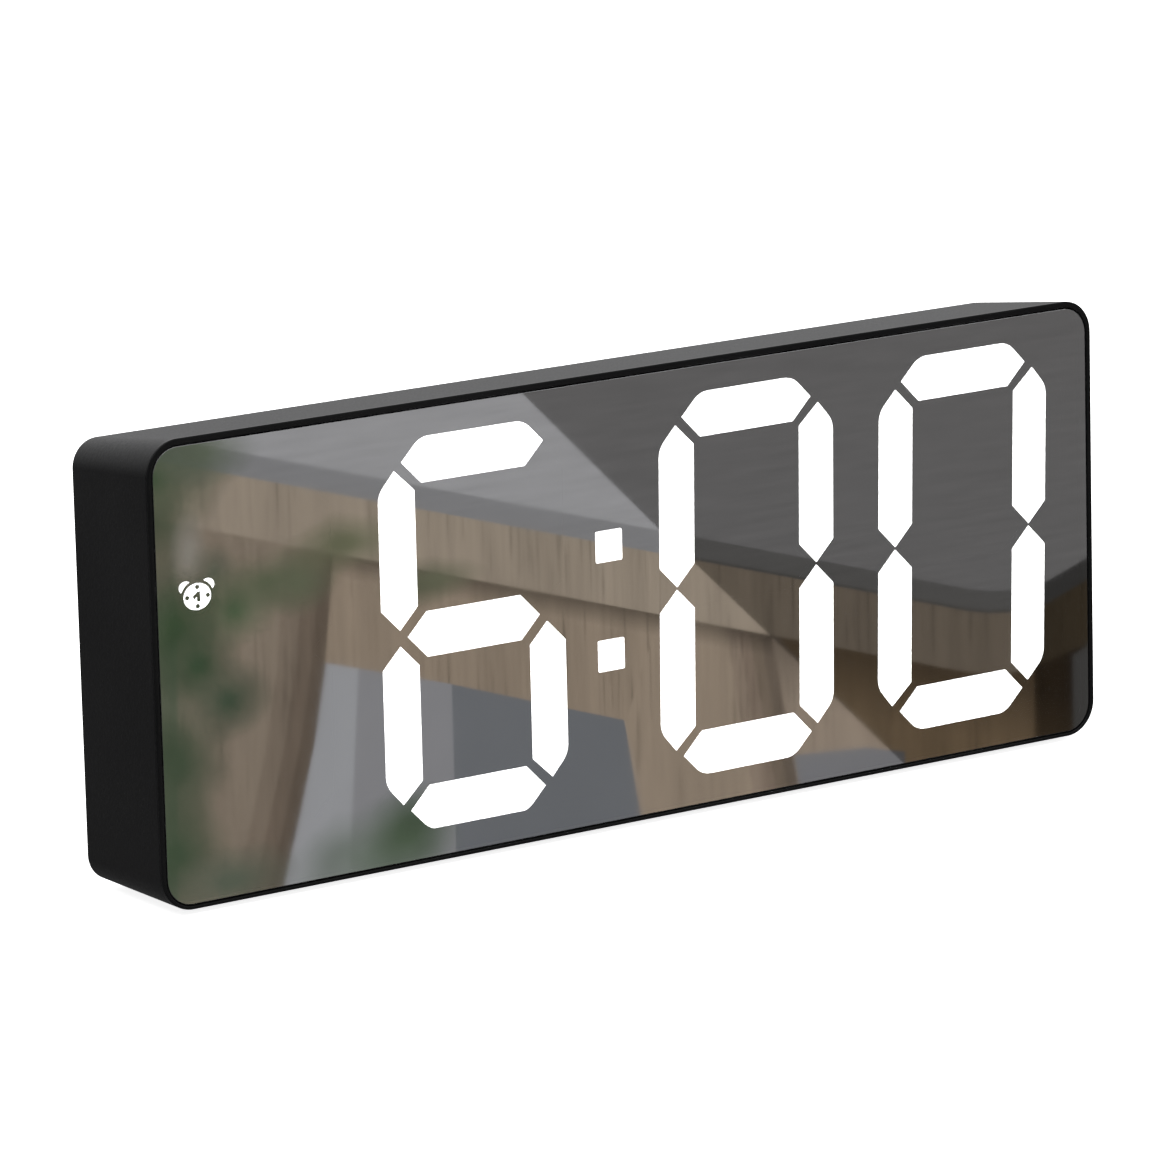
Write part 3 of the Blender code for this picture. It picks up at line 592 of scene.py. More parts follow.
def turned_rings(centre, axis, profile, steps):
    along = Vector(axis)
    across = Vector((0, 0, 1)) if axis[2] == 0 else Vector((1, 0, 0))
    other = along.cross(across)
    middle = at(*centre)
    rings = []
    for radius, distance in profile:
        ring = []
        for step in range(steps):
            angle = 2 * math.pi * step / steps
            spoke = across * math.cos(angle) + other * math.sin(angle)
            ring.append(middle + (along * distance + spoke * radius) * MM)
        rings.append(ring)
    return rings


def turned(name, centre, axis, profile, steps=48, bands=None):
    """A solid of revolution: profile is (radius, distance along the axis)."""
    return skinned(name, turned_rings(centre, axis, profile, steps), bands=bands)


def quarter(steps):
    """Sine and cosine along a quarter turn."""
    for step in range(steps + 1):
        angle = math.radians(90 * step / steps)
        yield math.sin(angle), math.cos(angle)


def carve(target, *operations):
    """Apply Booleans to target. Each operation is (cutter, DIFFERENCE or UNION); the cutters are removed."""
    for cutter, kind in operations:
        change = target.modifiers.new("carve", "BOOLEAN")
        change.operation = kind
        change.solver = "EXACT"
        change.object = cutter
    bpy.context.view_layer.update()
    result = target.evaluated_get(bpy.context.evaluated_depsgraph_get())
    mesh = bpy.data.meshes.new_from_object(result)
    target.modifiers.clear()
    target.data = mesh
    for cutter, _ in operations:
        bpy.data.objects.remove(cutter, do_unlink=True)


def block(name, x_span, layer, height_span):
    return slabs(name, [rectangle(x_span, height_span)], layer)


def soften(made, width, angle=35):
    """Round a piece's sharp edges. Flat areas are joined first, so that only real edges are rounded."""
    flat = made.modifiers.new("flat", "DECIMATE")
    flat.decimate_type = "DISSOLVE"
    flat.angle_limit = math.radians(1.0)
    round_off = made.modifiers.new("edges", "BEVEL")
    round_off.width = width * MM
    round_off.segments = 2
    round_off.limit_method = "ANGLE"
    round_off.angle_limit = math.radians(angle)
    round_off.use_clamp_overlap = True


def copy_of(node, name):
    """A new piece that starts with a CAD node's own mesh."""
    return placed(name, frame["nodes"][node].data.copy())


# ---------------------------------------------------------------- the case

def case_shell():
    """The drafted shell, swept round its outline with fine rounding on the rims."""
    rounding = [(EDGE_RADIUS * (1 - s), EDGE_RADIUS * (1 - c)) for s, c in quarter(6)]
    drafted = [(SHELL_INSET + inwards, depth) for inwards, depth in rounding]
    drafted += [(SHELL_INSET + inwards, CASE_DEPTH - depth) for depth, inwards in rounding]
    drafted += [(WALL, CASE_DEPTH), (WALL, LEDGE_LAYER[1])]
    straight = [(LEDGE_INSET, LEDGE_LAYER[1]), (LEDGE_INSET, LEDGE_LAYER[0]), (LIP, LEDGE_LAYER[0])]
    straight += [(LIP - LIP_RADIUS * (1 - c), LIP_RADIUS * (1 - s)) for s, c in quarter(4)]
    rings = [ring_at(case_outline(depth, inset), depth) for inset, depth in drafted]
    rings += [ring_at(front_outline(inset), depth) for inset, depth in straight]
    shell = skinned("case_shell", rings, closed=True)
    changes = []
    for height in CASE_SCREW_HEIGHTS:
        for side in (-1, 1):
            changes += screw_boss(side, height)
    for depth, x in foot_places():
        profile = [(FOOT_POCKET_RADIUS, 0), (FOOT_POCKET_RADIUS, 1.5)]
        pocket = turned("pocket", (x, depth, -1), (0, 0, 1), profile, 48)
        changes.append((pocket, "DIFFERENCE"))
    carve(shell, *changes)
    dress(shell, "case_plastic", stands_for="front_housing", sharp=40)


def screw_boss(side, height):
    """A hollow boss for a case screw and the rib that ties it to the side wall."""
    start = LEDGE_LAYER[1] - BOSS_OVERLAP
    length = PLATE_FRONT - FACE_GAP - start
    x = side * CASE_SCREW_X
    wall = side * (CASE_WIDTH / 2 - SIDE_DRAFT - WALL / 2)
    rib_span = (height - RIB_HALF_WIDTH, height + RIB_HALF_WIDTH)
    rib = block("rib", sorted((x, wall)), (start, start + length), rib_span)
    outside = [(BOSS_RADIUS, 0), (BOSS_RADIUS, length)]
    boss = turned("boss", (x, start, height), (0, 1, 0), outside, 32)
    bottom = start + length - SCREW_HOLE_DEPTH
    inside = [(SCREW_HOLE_RADIUS, 0), (SCREW_HOLE_RADIUS, SCREW_HOLE_DEPTH + 1)]
    hole = turned("hole", (x, bottom, height), (0, 1, 0), inside, 24)
    return [(rib, "UNION"), (boss, "UNION"), (hole, "DIFFERENCE")]


def foot_places():
    return [(depth, x) for depth in FOOT_DEPTHS for x in (-FOOT_X, FOOT_X)]


def feet():
    """Rubber discs with a shallow hollow underneath and a rounded lower edge."""
    for index, (depth, x) in enumerate(foot_places(), 1):
        profile = [(2.6, 0.06), (2.75, 0)]
        profile += [(3.15 + 0.2 * s, 0.2 * (1 - c)) for s, c in quarter(4)]
        profile += [(FOOT_RADIUS, 0.4), (FOOT_RADIUS, 1.0)]
        foot = turned(f"rubber_foot_{index}", (x, depth, -FOOT_STAND), (0, 0, 1), profile, 48)
        dress(foot, "rubber", stands_for=f"foot_{index}")


def lens():
    """The half-mirror panel: its coated front and rounded rim, and its clear back."""
    near, far = LENS_LAYER
    rings = []
    for s, c in quarter(4):
        inset = LENS_INSET + LENS_EDGE * (1 - s)
        rings.append(ring_at(front_outline(inset), near + LENS_EDGE * (1 - c)))
    rings.append(ring_at(front_outline(LENS_INSET), far))
    panel = skinned("mirror_panel", rings, bands=[0, 0, 0, 0, 1])
    dress(panel, "half_mirror", "lens_back", stands_for="mirror_lens", sharp=8)


# ---------------------------------------------------------------- the display

def filleted(corners, steps=6):
    """The closed outline with these corners, (x, height, radius), each rounded to its radius."""
    points = []
    for index, (x, height, radius) in enumerate(corners):
        here = Vector((x, height))
        before = (Vector(corners[index - 1][:2]) - here).normalized()
        after = (Vector(corners[(index + 1) % len(corners)][:2]) - here).normalized()
        if radius == 0:
            points.append(tuple(here))
            continue
        half = before.angle(after) / 2
        reach = radius / math.tan(half)
        centre = here + (before + after).normalized() * (radius / math.sin(half))
        start = here + before * reach - centre
        end = here + after * reach - centre
        for step in range(steps + 1):
            spoke = start.lerp(end, step / steps).normalized()
            points.append(tuple(centre + spoke * radius))
    return points


def bar(left, right, height, rounded_side):
    """A level segment. rounded_side is 1 for a rounded top, -1 for a rounded bottom, 0 for neither."""
    w = BAR_HEIGHT / 2
    low = SHOULDER if rounded_side < 0 else SOFT_CORNER
    high = SHOULDER if rounded_side > 0 else SOFT_CORNER
    return filleted([
        (left, height, 0),
        (left + w, height - w, low),
        (right - w, height - w, low),
        (right, height, 0),
        (right - w, height + w, high),
        (left + w, height + w, high),
    ])


def post(x, low, high, side, rounded_end, tip_lean):
    """An upright segment, with its outer shoulder rounded at one end: side and rounded_end are -1 or 1."""
    w = STROKE / 2
    radii = {}
    tips = {}
    for end in (-1, 1):
        tips[end] = x + (side * POST_TIP_SHIFT + end * tip_lean) * (end == rounded_end)
        for edge in (-1, 1):
            radii[end, edge] = SHOULDER if (end, edge) == (rounded_end, side) else SOFT_CORNER
    return filleted([
        (tips[-1], low, 0),
        (x + w, low + w, radii[-1, 1]),
        (x + w, high - w, radii[1, 1]),
        (tips[1], high, 0),
        (x - w, high - w, radii[1, -1]),
        (x - w, low + w, radii[-1, -1]),
    ])


def digit_segments(digit, waist_gap=WAIST_GAP, top_tail=0.0):
    """The seven segments of a digit by their usual letters."""
    left, low_edge, high_edge = digit["left"], digit["low"], digit["high"]
    right = left + DIGIT_WIDTH
    centre = (left + DIGIT_WIDTH / 2, (low_edge + high_edge) / 2)
    half = BAR_HEIGHT / 2
    low = low_edge + POST_TIP
    high = high_edge - POST_TIP
    below = centre[1] - waist_gap / 2
    above = centre[1] + waist_gap / 2
    near, far = left + STROKE / 2, right - STROKE / 2
    tip_lean = digit["tip_lean"]
    upright = {
        "a": bar(left + BAR_TIP, right - BAR_TIP + top_tail, high_edge - half, 1),
        "b": post(far, above, high, 1, 1, tip_lean),
        "c": post(far, low, below, 1, -1, tip_lean),
        "d": bar(left + BAR_TIP, right - BAR_TIP, low_edge + half, -1),
        "e": post(near, low, below, -1, -1, tip_lean),
        "f": post(near, above, high, -1, 1, tip_lean),
        "g": bar(left + MIDDLE_TIP, right - MIDDLE_TIP, centre[1], 0),
    }
    return {letter: leaning(outline, centre, digit) for letter, outline in upright.items()}


def leaning(outline, centre, digit):
    moved = []
    for x, height in outline:
        across, up = x - centre[0], height - centre[1]
        moved.append((x + up * digit["lean"], height + across * digit["rise"]))
    return moved


def lit_display():
    """The segments that show 6:00, and the colon."""
    hour = digit_segments(DIGITS["hour"], HOUR_WAIST_GAP, HOUR_TOP_TAIL)
    flat_pieces("lit_hour", [hour[s] for s in "acdefg"], LIT_LAYER, "lit_film")
    for name in ("ten_minute", "minute"):
        segments = digit_segments(DIGITS[name])
        flat_pieces(f"lit_{name}", [segments[s] for s in "abcdef"], LIT_LAYER, "lit_film")
    half = COLON_SIDE / 2
    dots = []
    for height in COLON_HEIGHTS:
        square = rectangle((COLON_X - half, COLON_X + half), (height - half, height + half))
        dots.append(filleted([(x, h, DOT_CORNER) for x, h in square], 3))
    flat_pieces("lit_colon", dots, LIT_LAYER, "lit_film")


def border_print():
    """The black border printed on the lens's back, which hides the tape and the mask's edge."""
    near, far = LENS_LAYER[1] + 0.02, LENS_LAYER[1] + 0.05
    outer, inner = front_outline(LENS_INSET + 0.1), case_outline(0, BORDER_INSET)
    rings = [ring_at(outer, near), ring_at(outer, far), ring_at(inner, far), ring_at(inner, near)]
    dress(skinned("lens_border_print", rings, closed=True), "black_print")


def line_outline(start, end, width):
    """A narrow rectangle from start to end."""
    a, b = Vector(start), Vector(end)
    across = (b - a).orthogonal().normalized() * (width / 2)
    return [tuple(a + across), tuple(b + across), tuple(b - across), tuple(a - across)]


def alarm_sign():
    """A little alarm clock: two bells, a gap, a face, four marks and two hands, in thin printed layers."""
    x, middle = ICON_X, ICON_HEIGHT - FACE_DROP
    aside, above = BELL_PLACE
    bells = [ellipse(x + side * aside, ICON_HEIGHT + above, *BELL_SIZE) for side in (-1, 1)]
    gap, face = ellipse(x, middle, *GAP_SIZE), ellipse(x, middle, *FACE_SIZE)
    wide, tall = MARK_REACH
    offsets = ((0, tall), (0, -tall), (wide, 0), (-wide, 0))
    marks = [ellipse(x + across, middle + up, *MARK_SIZE, 20) for across, up in offsets]
    long_hand, short_hand = HAND_WIDTHS
    hands = [
        line_outline((x + 0.15, middle + 0.66), (x + 0.15, middle - 0.7), long_hand),
        line_outline((x + 0.2, middle + 0.5), (x - 0.68, middle - 0.12), short_hand),
    ]
    flat_pieces("lit_bells", bells, SIGN_LAYERS["bells"], "lit_film")
    flat_pieces("bell_gap", [gap], SIGN_LAYERS["gap"], "black_print")
    flat_pieces("lit_face", [face], SIGN_LAYERS["face"], "lit_film")
    flat_pieces("face_marks", marks, SIGN_LAYERS["marks"], "black_print")
    flat_pieces("face_hands", hands, SIGN_LAYERS["hands"], "black_print")


def light_chips():
    """Light-emitting chips on the board: two behind every segment, one behind each dot and the sign."""
    places = []
    for digit in DIGITS.values():
        left, middle = digit["left"], (digit["low"] + digit["high"]) / 2
        for x in (left + STROKE / 2, left + DIGIT_WIDTH - STROKE / 2):
            places += [(x, middle + side * offset) for side in (-1, 1) for offset in POST_CHIP_OFFSETS]
        for height in (digit["low"] + BAR_HEIGHT / 2, middle, digit["high"] - BAR_HEIGHT / 2):
            places += [(left + DIGIT_WIDTH / 2 + side * BAR_CHIP_OFFSET, height) for side in (-1, 1)]
    places += [(COLON_X, height) for height in COLON_HEIGHTS]
    places.append((ICON_X, ICON_HEIGHT))
    wide, tall = CHIP_HALF_SIZE
    bodies = [rectangle((x - wide, x + wide), (height - tall, height + tall)) for x, height in places]
    lenses = [ellipse(x, height, CHIP_LENS_RADIUS, CHIP_LENS_RADIUS, 16) for x, height in places]
    dress(slabs("light_chip_bodies", bodies, CHIP_LAYER, 0.08), "white_plastic")
    flat_pieces("light_chip_lenses", lenses, CHIP_LENS_LAYER, "phosphor")


# ---------------------------------------------------------------- the rear

def chevron(x, height, half_width, rise, stroke):
    """A V-shaped mark that opens upwards, for an arrow."""
    return [
        (x, height),
        (x + half_width, height + rise),
        (x + half_width, height + rise + stroke),
        (x, height + stroke),
        (x - half_width, height + rise + stroke),
        (x - half_width, height + rise),
    ]


def rear_shell():
    """The rear cover's own shape with softened edges."""
    cover = copy_of("rear_cover", "rear_shell")
    soften(cover, 0.18)
    dress(cover, "case_plastic", stands_for="rear_cover")


def door():
    """The battery door's own shape with a recessed arrow and softened edges."""
    panel = copy_of("battery_door", "door_panel")
    heights = (ARROW_HEIGHT, ARROW_HEIGHT - ARROW_STEP)
    arrow = [chevron(0, height, half_width=2.6, rise=1.8, stroke=0.8) for height in heights]
    carve(panel, (slabs("arrow", arrow, (TOTAL_DEPTH - ARROW_DEPTH, TOTAL_DEPTH + 1)), "DIFFERENCE"))
    soften(panel, 0.12)
    dress(panel, "case_plastic", body="battery_door", stands_for="battery_door")


def key_places():
    middle = (len(KEY_NAMES) - 1) / 2
    for index, name in enumerate(KEY_NAMES):
        yield name, (middle - index) * KEY_SPACING


def key_symbol(name, x):
    """A plain pictogram for a key, seen from behind the clock."""
    h = KEY_HEIGHT
    if name == "mode":
        middles = [h + offset for offset in (-0.75, 0, 0.75)]
        return [rectangle((x - 1.05, x + 1.05), (middle - 0.17, middle + 0.17)) for middle in middles]
    if name == "set":
        return [[(x + 1.1, h + 0.05), (x + 0.3, h - 0.85), (x - 1.2, h + 0.85), (x - 0.9, h + 1.1),
                 (x + 0.3, h - 0.3), (x + 0.85, h + 0.3)]]
    if name == "up":
        return [[(x - 1.2, h - 0.75), (x + 1.2, h - 0.75), (x, h + 1.15)]]
    if name == "down":
        return [[(x - 1.2, h + 0.75), (x, h - 1.15), (x + 1.2, h + 0.75)]]
    angles = [math.radians(degrees) for degrees in range(0, 181, 15)]
    dome = [(x + 0.8 * math.cos(a), h + 0.2 + 0.8 * math.sin(a)) for a in angles]
    bell = dome + [(x - 0.85, h - 0.35), (x - 1.15, h - 0.65), (x + 1.15, h - 0.65), (x + 0.85, h - 0.35)]
    return [bell, ellipse(x, h - 0.98, 0.28, 0.2, 16)]


def keys():
    """Dished caps with softened rims and a printed pictogram."""
    for name, x in key_places():
        profile = [(KEY_FLANGE_RADIUS - 0.1, 0), (KEY_FLANGE_RADIUS, 0.1), (KEY_FLANGE_RADIUS, 0.8)]
        profile += [(KEY_FLANGE_RADIUS - 0.1, 0.9), (KEY_RADIUS, 0.9)]
        profile += [(KEY_RADIUS - KEY_RIM * (1 - c), KEY_RISE - KEY_RIM * (1 - s)) for s, c in quarter(6)]
        for radius in (2.5, 2.1, 1.6, 1.1, 0.6, 0.1):
            share = radius / (KEY_RADIUS - KEY_RIM)
            profile.append((radius, KEY_RISE - KEY_DISH * (1 - share ** 2)))
        body = f"key_{name}"
        cap = turned(f"key_cap_{name}", (x, KEY_FRONT, KEY_HEIGHT), (0, 1, 0), profile, 64)
        dress(cap, "key_plastic", body=body, stands_for=body)
        top = KEY_FRONT + KEY_RISE
        layer = (top - 0.2, top - 0.08)
        flat_pieces(f"key_symbol_{name}", key_symbol(name, x), layer, "key_print", body)


def stadium(inset):
    """The inlet's outline, with fully rounded ends, moved inwards by inset."""
    half_width, half_height = USB_HALF_WIDTH - inset, USB_HALF_HEIGHT - inset
    left, right = USB_X - half_width, USB_X + half_width
    low, high = USB_HEIGHT - half_height, USB_HEIGHT + half_height
    return rounded_outline(left, right, low, high, half_height - 0.02, 12)


def inlet():
    """The inlet's drawn shell and its contact tongue with gold pads."""
    front, back = 12.4, CASE_DEPTH - 0.2
    rim, wall = 0.12, 0.3
    profile = [(0, front), (0, back - rim), (0.06, back), (0.24, back), (wall, back - rim), (wall, back - 7)]
    shell = skinned("inlet_shell", [ring_at(stadium(inset), depth) for inset, depth in profile])
    dress(shell, "steel", stands_for="usb_shell")
    half_width, half_height = 3.3, 0.33
    x_span = (USB_X - half_width, USB_X + half_width)
    height_span = (USB_HEIGHT - half_height, USB_HEIGHT + half_height)
    tongue = slabs("inlet_tongue", [rectangle(x_span, height_span)], (back - 6.7, back - 1.2), 0.08)
    dress(tongue, "black_resin", stands_for="usb_tongue")
    pads = []
    for index in range(8):
        x = USB_X + (index - 3.5) * 0.72
        for low, high in ((-0.36, -half_height), (half_height, 0.36)):
            pads.append(rectangle((x - 0.18, x + 0.18), (USB_HEIGHT + low, USB_HEIGHT + high)))
    flat_pieces("inlet_pads", pads, (back - 5.5, back - 1.5), "gold")


def screws():
    """Pan heads with a cross recess, on their threaded shanks."""
    places = [(side * CASE_SCREW_X, height) for height in CASE_SCREW_HEIGHTS for side in (-1, 1)]
    seat = PLATE_FRONT + SEAT_THICKNESS
    for index, (x, height) in enumerate(places, 1):
        profile = [(0.3, -7.5), (0.75, -6.9)]
        for turn in range(THREAD_TURNS):
            start = -6.7 + THREAD_PITCH * turn
            profile += [(0.68, start), (0.85, start + THREAD_PITCH / 2)]
        profile += [(0.7, -0.2), (0.7, 0), (1.6, 0), (HEAD_RADIUS, 0.1), (HEAD_RADIUS, 0.35)]
        profile += [(HEAD_RADIUS * c + 0.02, 0.35 + 0.53 * s) for s, c in list(quarter(6))[1:]]
        made = turned(f"cover_screw_{index}", (x, seat, height), (0, 1, 0), profile, 40)
        layer = (seat + 0.35, seat + 2)
        arm, slot = 1.0, 0.2
        across = block("across", (x - arm, x + arm), layer, (height - slot, height + slot))
        upright = block("upright", (x - slot, x + slot), layer, (height - arm, height + arm))
        carve(made, (across, "DIFFERENCE"), (upright, "DIFFERENCE"))
        dress(made, "steel", stands_for=f"case_screw_{index}")


# ---------------------------------------------------------------- batteries

def cell_sides():
    return (("lower", CELL_HEIGHTS[0], 1), ("middle", CELL_HEIGHTS[1], -1), ("upper", CELL_HEIGHTS[2], 1))


def cells():
    """AAA cells: a printed sleeve rolled over both ends, a bare negative end and a raised positive pole."""
    negative_end = [(4.3, 0), (4.5, 0.05), (4.6, 0.12), (5.0, 0.1), (5.18, 0.22)]
    sleeve = [(CELL_RADIUS, along) for along in (0.5, 31.0, 40.0, 42.9)]
    rolled_rim = [(5.15, 43.25), (4.8, 43.4), (4.4, 43.3)]
    pole = [(2.1, 43.35), (1.95, 43.5), (1.9, 44.2), (1.7, 44.45), (1.5, CELL_LENGTH)]
    profile = negative_end + sleeve + rolled_rim + pole
    bands = [2, 2, 0, 0, 0, 0, 1, 0, 0, 0, 2, 2, 2, 2, 2, 2]
    for name, height, side in cell_sides():
        start = (CONTACT_FACE - FACE_GAP - CELL_LENGTH) * side
        made = turned(f"cell_{name}", (start, CELL_DEPTH, height), (side, 0, 0), profile, 64, bands)
        dress(made, "cell_jacket", "cell_band", "nickel", stands_for=f"battery_cell_{name}", sharp=30)


def coil(name, side, height):
    """A conical contact spring of round wire."""
    wire, turns, wide, narrow = 0.3, 3.5, 3.4, 2.0
    start = CONTACT_FACE - FACE_GAP - wire
    end = start - (CONTACT_FACE * 2 - CELL_LENGTH - 0.9) + 2 * wire
    steps = int(turns * 28)
    points = []
    for step in range(steps + 1):
        share = step / steps
        angle = 2 * math.pi * turns * share
        radius = wide + (narrow - wide) * share
        x = side * (start + (end - start) * share)
        points.append(at(x, CELL_DEPTH + radius * math.cos(angle), height + radius * math.sin(angle)))
    rings = []
    for index, point in enumerate(points):
        along = (points[min(index + 1, steps)] - points[max(index - 1, 0)]).normalized()
        across = along.cross(Vector((1, 0, 0))).normalized()
        other = along.cross(across)
        ring = []
        for step in range(10):
            angle = 2 * math.pi * step / 10
            ring.append(point + (across * math.cos(angle) + other * math.sin(angle)) * wire * MM)
        rings.append(ring)
    return skinned(name, rings)


def springs():
    for name, height, side in cell_sides():
        dress(coil(f"spring_{name}", -side, height), "nickel", stands_for=f"contact_spring_{name}")


# ---------------------------------------------------------------- CAD nodes that stay

KEPT = {
    "black_tape": ["lens_tape"],
    "black_print": ["segment_mask"],
    "diffuser": ["diffuser_sheet"],
    "white_plastic": ["reflector_block"],
    "board_laminate": ["main_board"],
    "black_resin": ["clock_chip", "driver_chip", "buzzer"]
    + [f"switch_{part}_{name}" for part in ("body", "plunger") for name in KEY_NAMES],
    "steel": ["timing_crystal"] + [f"board_screw_{i}" for i in range(1, 5)],
    "capacitor_sleeve": ["smoothing_capacitor"],
    "nickel": ["contact_negative", "contact_positive", "contact_bridge_left", "contact_bridge_right"],
    "red_insulation": ["battery_lead_red"],
    "black_insulation": ["battery_lead_black"],
}


def dress_kept_nodes():
    for finish, nodes in KEPT.items():
        for node in nodes:
            mesh = frame["nodes"][node].data
            mesh.materials.clear()
            mesh.materials.append(FINISH[finish])


# ---------------------------------------------------------------- the mirrored room: a painted reflection

def emitting(name, colour, fineness, spread, turn=0.0):
    """A glowing card's material with a grain this fine along each axis; turn changes the grain's pattern."""
    s = card_material(name)
    grain = s.noise(1.0, 4.0, s.stretched(fineness, (0.0, turn, 0.0)), 0.6)
    return s.show(s.glow(Color=s.blend(grain, shade(colour, 1 - spread), shade(colour, 1 + spread))))


def timber(name, colour):
    """Glowing timber: broad bands, fine lines and dark pores, all along the upright grain."""
    s = card_material(name)
    bands = s.noise(1.0, 3.0, s.stretched((55.0, 1.0, 3.0)), 0.6)
    lines = s.noise(1.0, 3.0, s.stretched((420.0, 1.0, 16.0)), 0.6)
    pores = s.noise(1.0, 2.0, s.stretched((480.0, 1.0, 17.0)), 0.5)
    level = s.math("ADD", s.swing(bands, 0.87, 1.12), s.swing(lines, -0.08, 0.08))
    level = s.math("SUBTRACT", level, s.span(pores, 0.58, 0.68, 0.0, 0.36))
    return s.show(s.glow(Color=(*colour, 1.0), Strength=level))


def tone(red, green, blue):
    """The card's light for a tone, 0 to 255, that the lens should show."""
    share = MIRROR_ALPHA * MIRROR_TONE
    linear = []
    for value in (red, green, blue):
        part = value / 255
        part = part / 12.92 if part <= 0.04045 else ((part + 0.055) / 1.055) ** 2.4
        linear.append(part / share)
    return tuple(linear)


def seen_in_lens(x, height, distance):
    """The point, distance metres before the lens, that the camera sees mirrored at x, height on the lens."""
    on_lens = at(x, LENS_LAYER[0], height)
    mirrored = Vector((CAMERA_PLACE.x, 2 * on_lens.y - CAMERA_PLACE.y, CAMERA_PLACE.z))
    share = (mirrored.y - on_lens.y + distance) / (mirrored.y - on_lens.y)
    return mirrored + (on_lens - mirrored) * share


def card(name, corners, distance, finish):
    """A flat card whose mirror image fills these corners on the lens. Only glossy surfaces see it."""
    bm = bmesh.new()
    bm.faces.new([bm.verts.new(seen_in_lens(x, height, distance)) for x, height in corners])
    made = link_mesh(name, bm)
    made.data.materials.append(finish)
    made.visible_camera = False
    made.visible_diffuse = False
    made.visible_shadow = False
    made.visible_transmission = False


def foliage(name, x, height, half_width, half_height, colour, distance):
    """A soft-edged clump of leaves, out of focus, that fades out from its middle."""
    s = card_material(name)
    centre = seen_in_lens(x, height, distance)
    reach = seen_in_lens(x + half_width, height + half_height, distance) - centre
    offset = s.vector_math("SUBTRACT", s.place, centre)
    scaled = s.vector_math("MULTIPLY", offset, (1 / reach.x, 0.0, 1 / reach.z))
    length = s.vector_math("LENGTH", scaled, result="Value")
    leaves = s.noise(26.0, 2.0)
    fade = s.span(s.math("ADD", length, s.swing(leaves, -0.2, 0.2)), 0.15, 1.1, 1.0, 0.0)
    light = s.glow(Color=s.blend(leaves, shade(colour, 0.85), shade(colour, 1.18)))
    finish = s.show(s.mixed(fade, s.clear(WHITE), light))
    wide, tall = 1.5 * half_width, 1.5 * half_height
    card(f"card_{name}", rectangle((x - wide, x + wide), (height - tall, height + tall)), distance, finish)


def strip(edge, width):
    """The outline of a strip this wide on the left of an edge, and a little higher at its top."""
    beside = [(x - width, height) for x, height in edge]
    beside[0] = (beside[0][0], beside[0][1] + width / 4)
    return edge + beside[::-1]


def lowered(edge, drop):
    """The same edge, this much lower."""
    return [(x, height - drop) for x, height in edge]


# Outer edges of the mirrored room, past the lens's own
LEFT, RIGHT, BELOW, ABOVE = -110, 110, -25, 90
# Edges of its shapes, as they lie on the lens
LEG_EDGE = [(-51.9, 45.8), (-53.8, 31), (-56.1, 20), (-59, 10), (-61.4, 2.5), (-69.2, BELOW)]
RIGHT_LEG_EDGE = [(22.2, 23.8), (24.9, 9.2), (27.4, -4), (31.2, BELOW)]
DESK_SIDE_EDGE = [(-90, 68.6), (-62, 60.35), (-11, 45.35), (6, 40.35), (41, 30), (54, 26.1), (58, 24.9),
                  (62, 24), (65.5, 23.6), (69.5, 23.5)]
DESK_END_EDGE = [(69.5, 23.5), (73, 23.9), (75, 24.55), (77, 25.15), (79, 25.8), (RIGHT, 36)]
SLAB_THICKNESS = 3.27
APRON_SIDE_EDGE = [(-90, 57.2), (-62, 48.8), (41, 17.6), (48.7, 15.3), (52.7, 14), (58, 12.5), (62, 11.6),
                   (66, 11.2), (69.5, 11.3)]
APRON_END_EDGE = [(69.5, 11.3), (72.7, 11.75), (75, 12.3), (80, 13.2), (RIGHT, 19)]
SUNLIT_EDGE = [(73.5, BELOW), (45.1, 1.4), (2.4, 41.9), (-19.9, 63.7), (-47, ABOVE)]
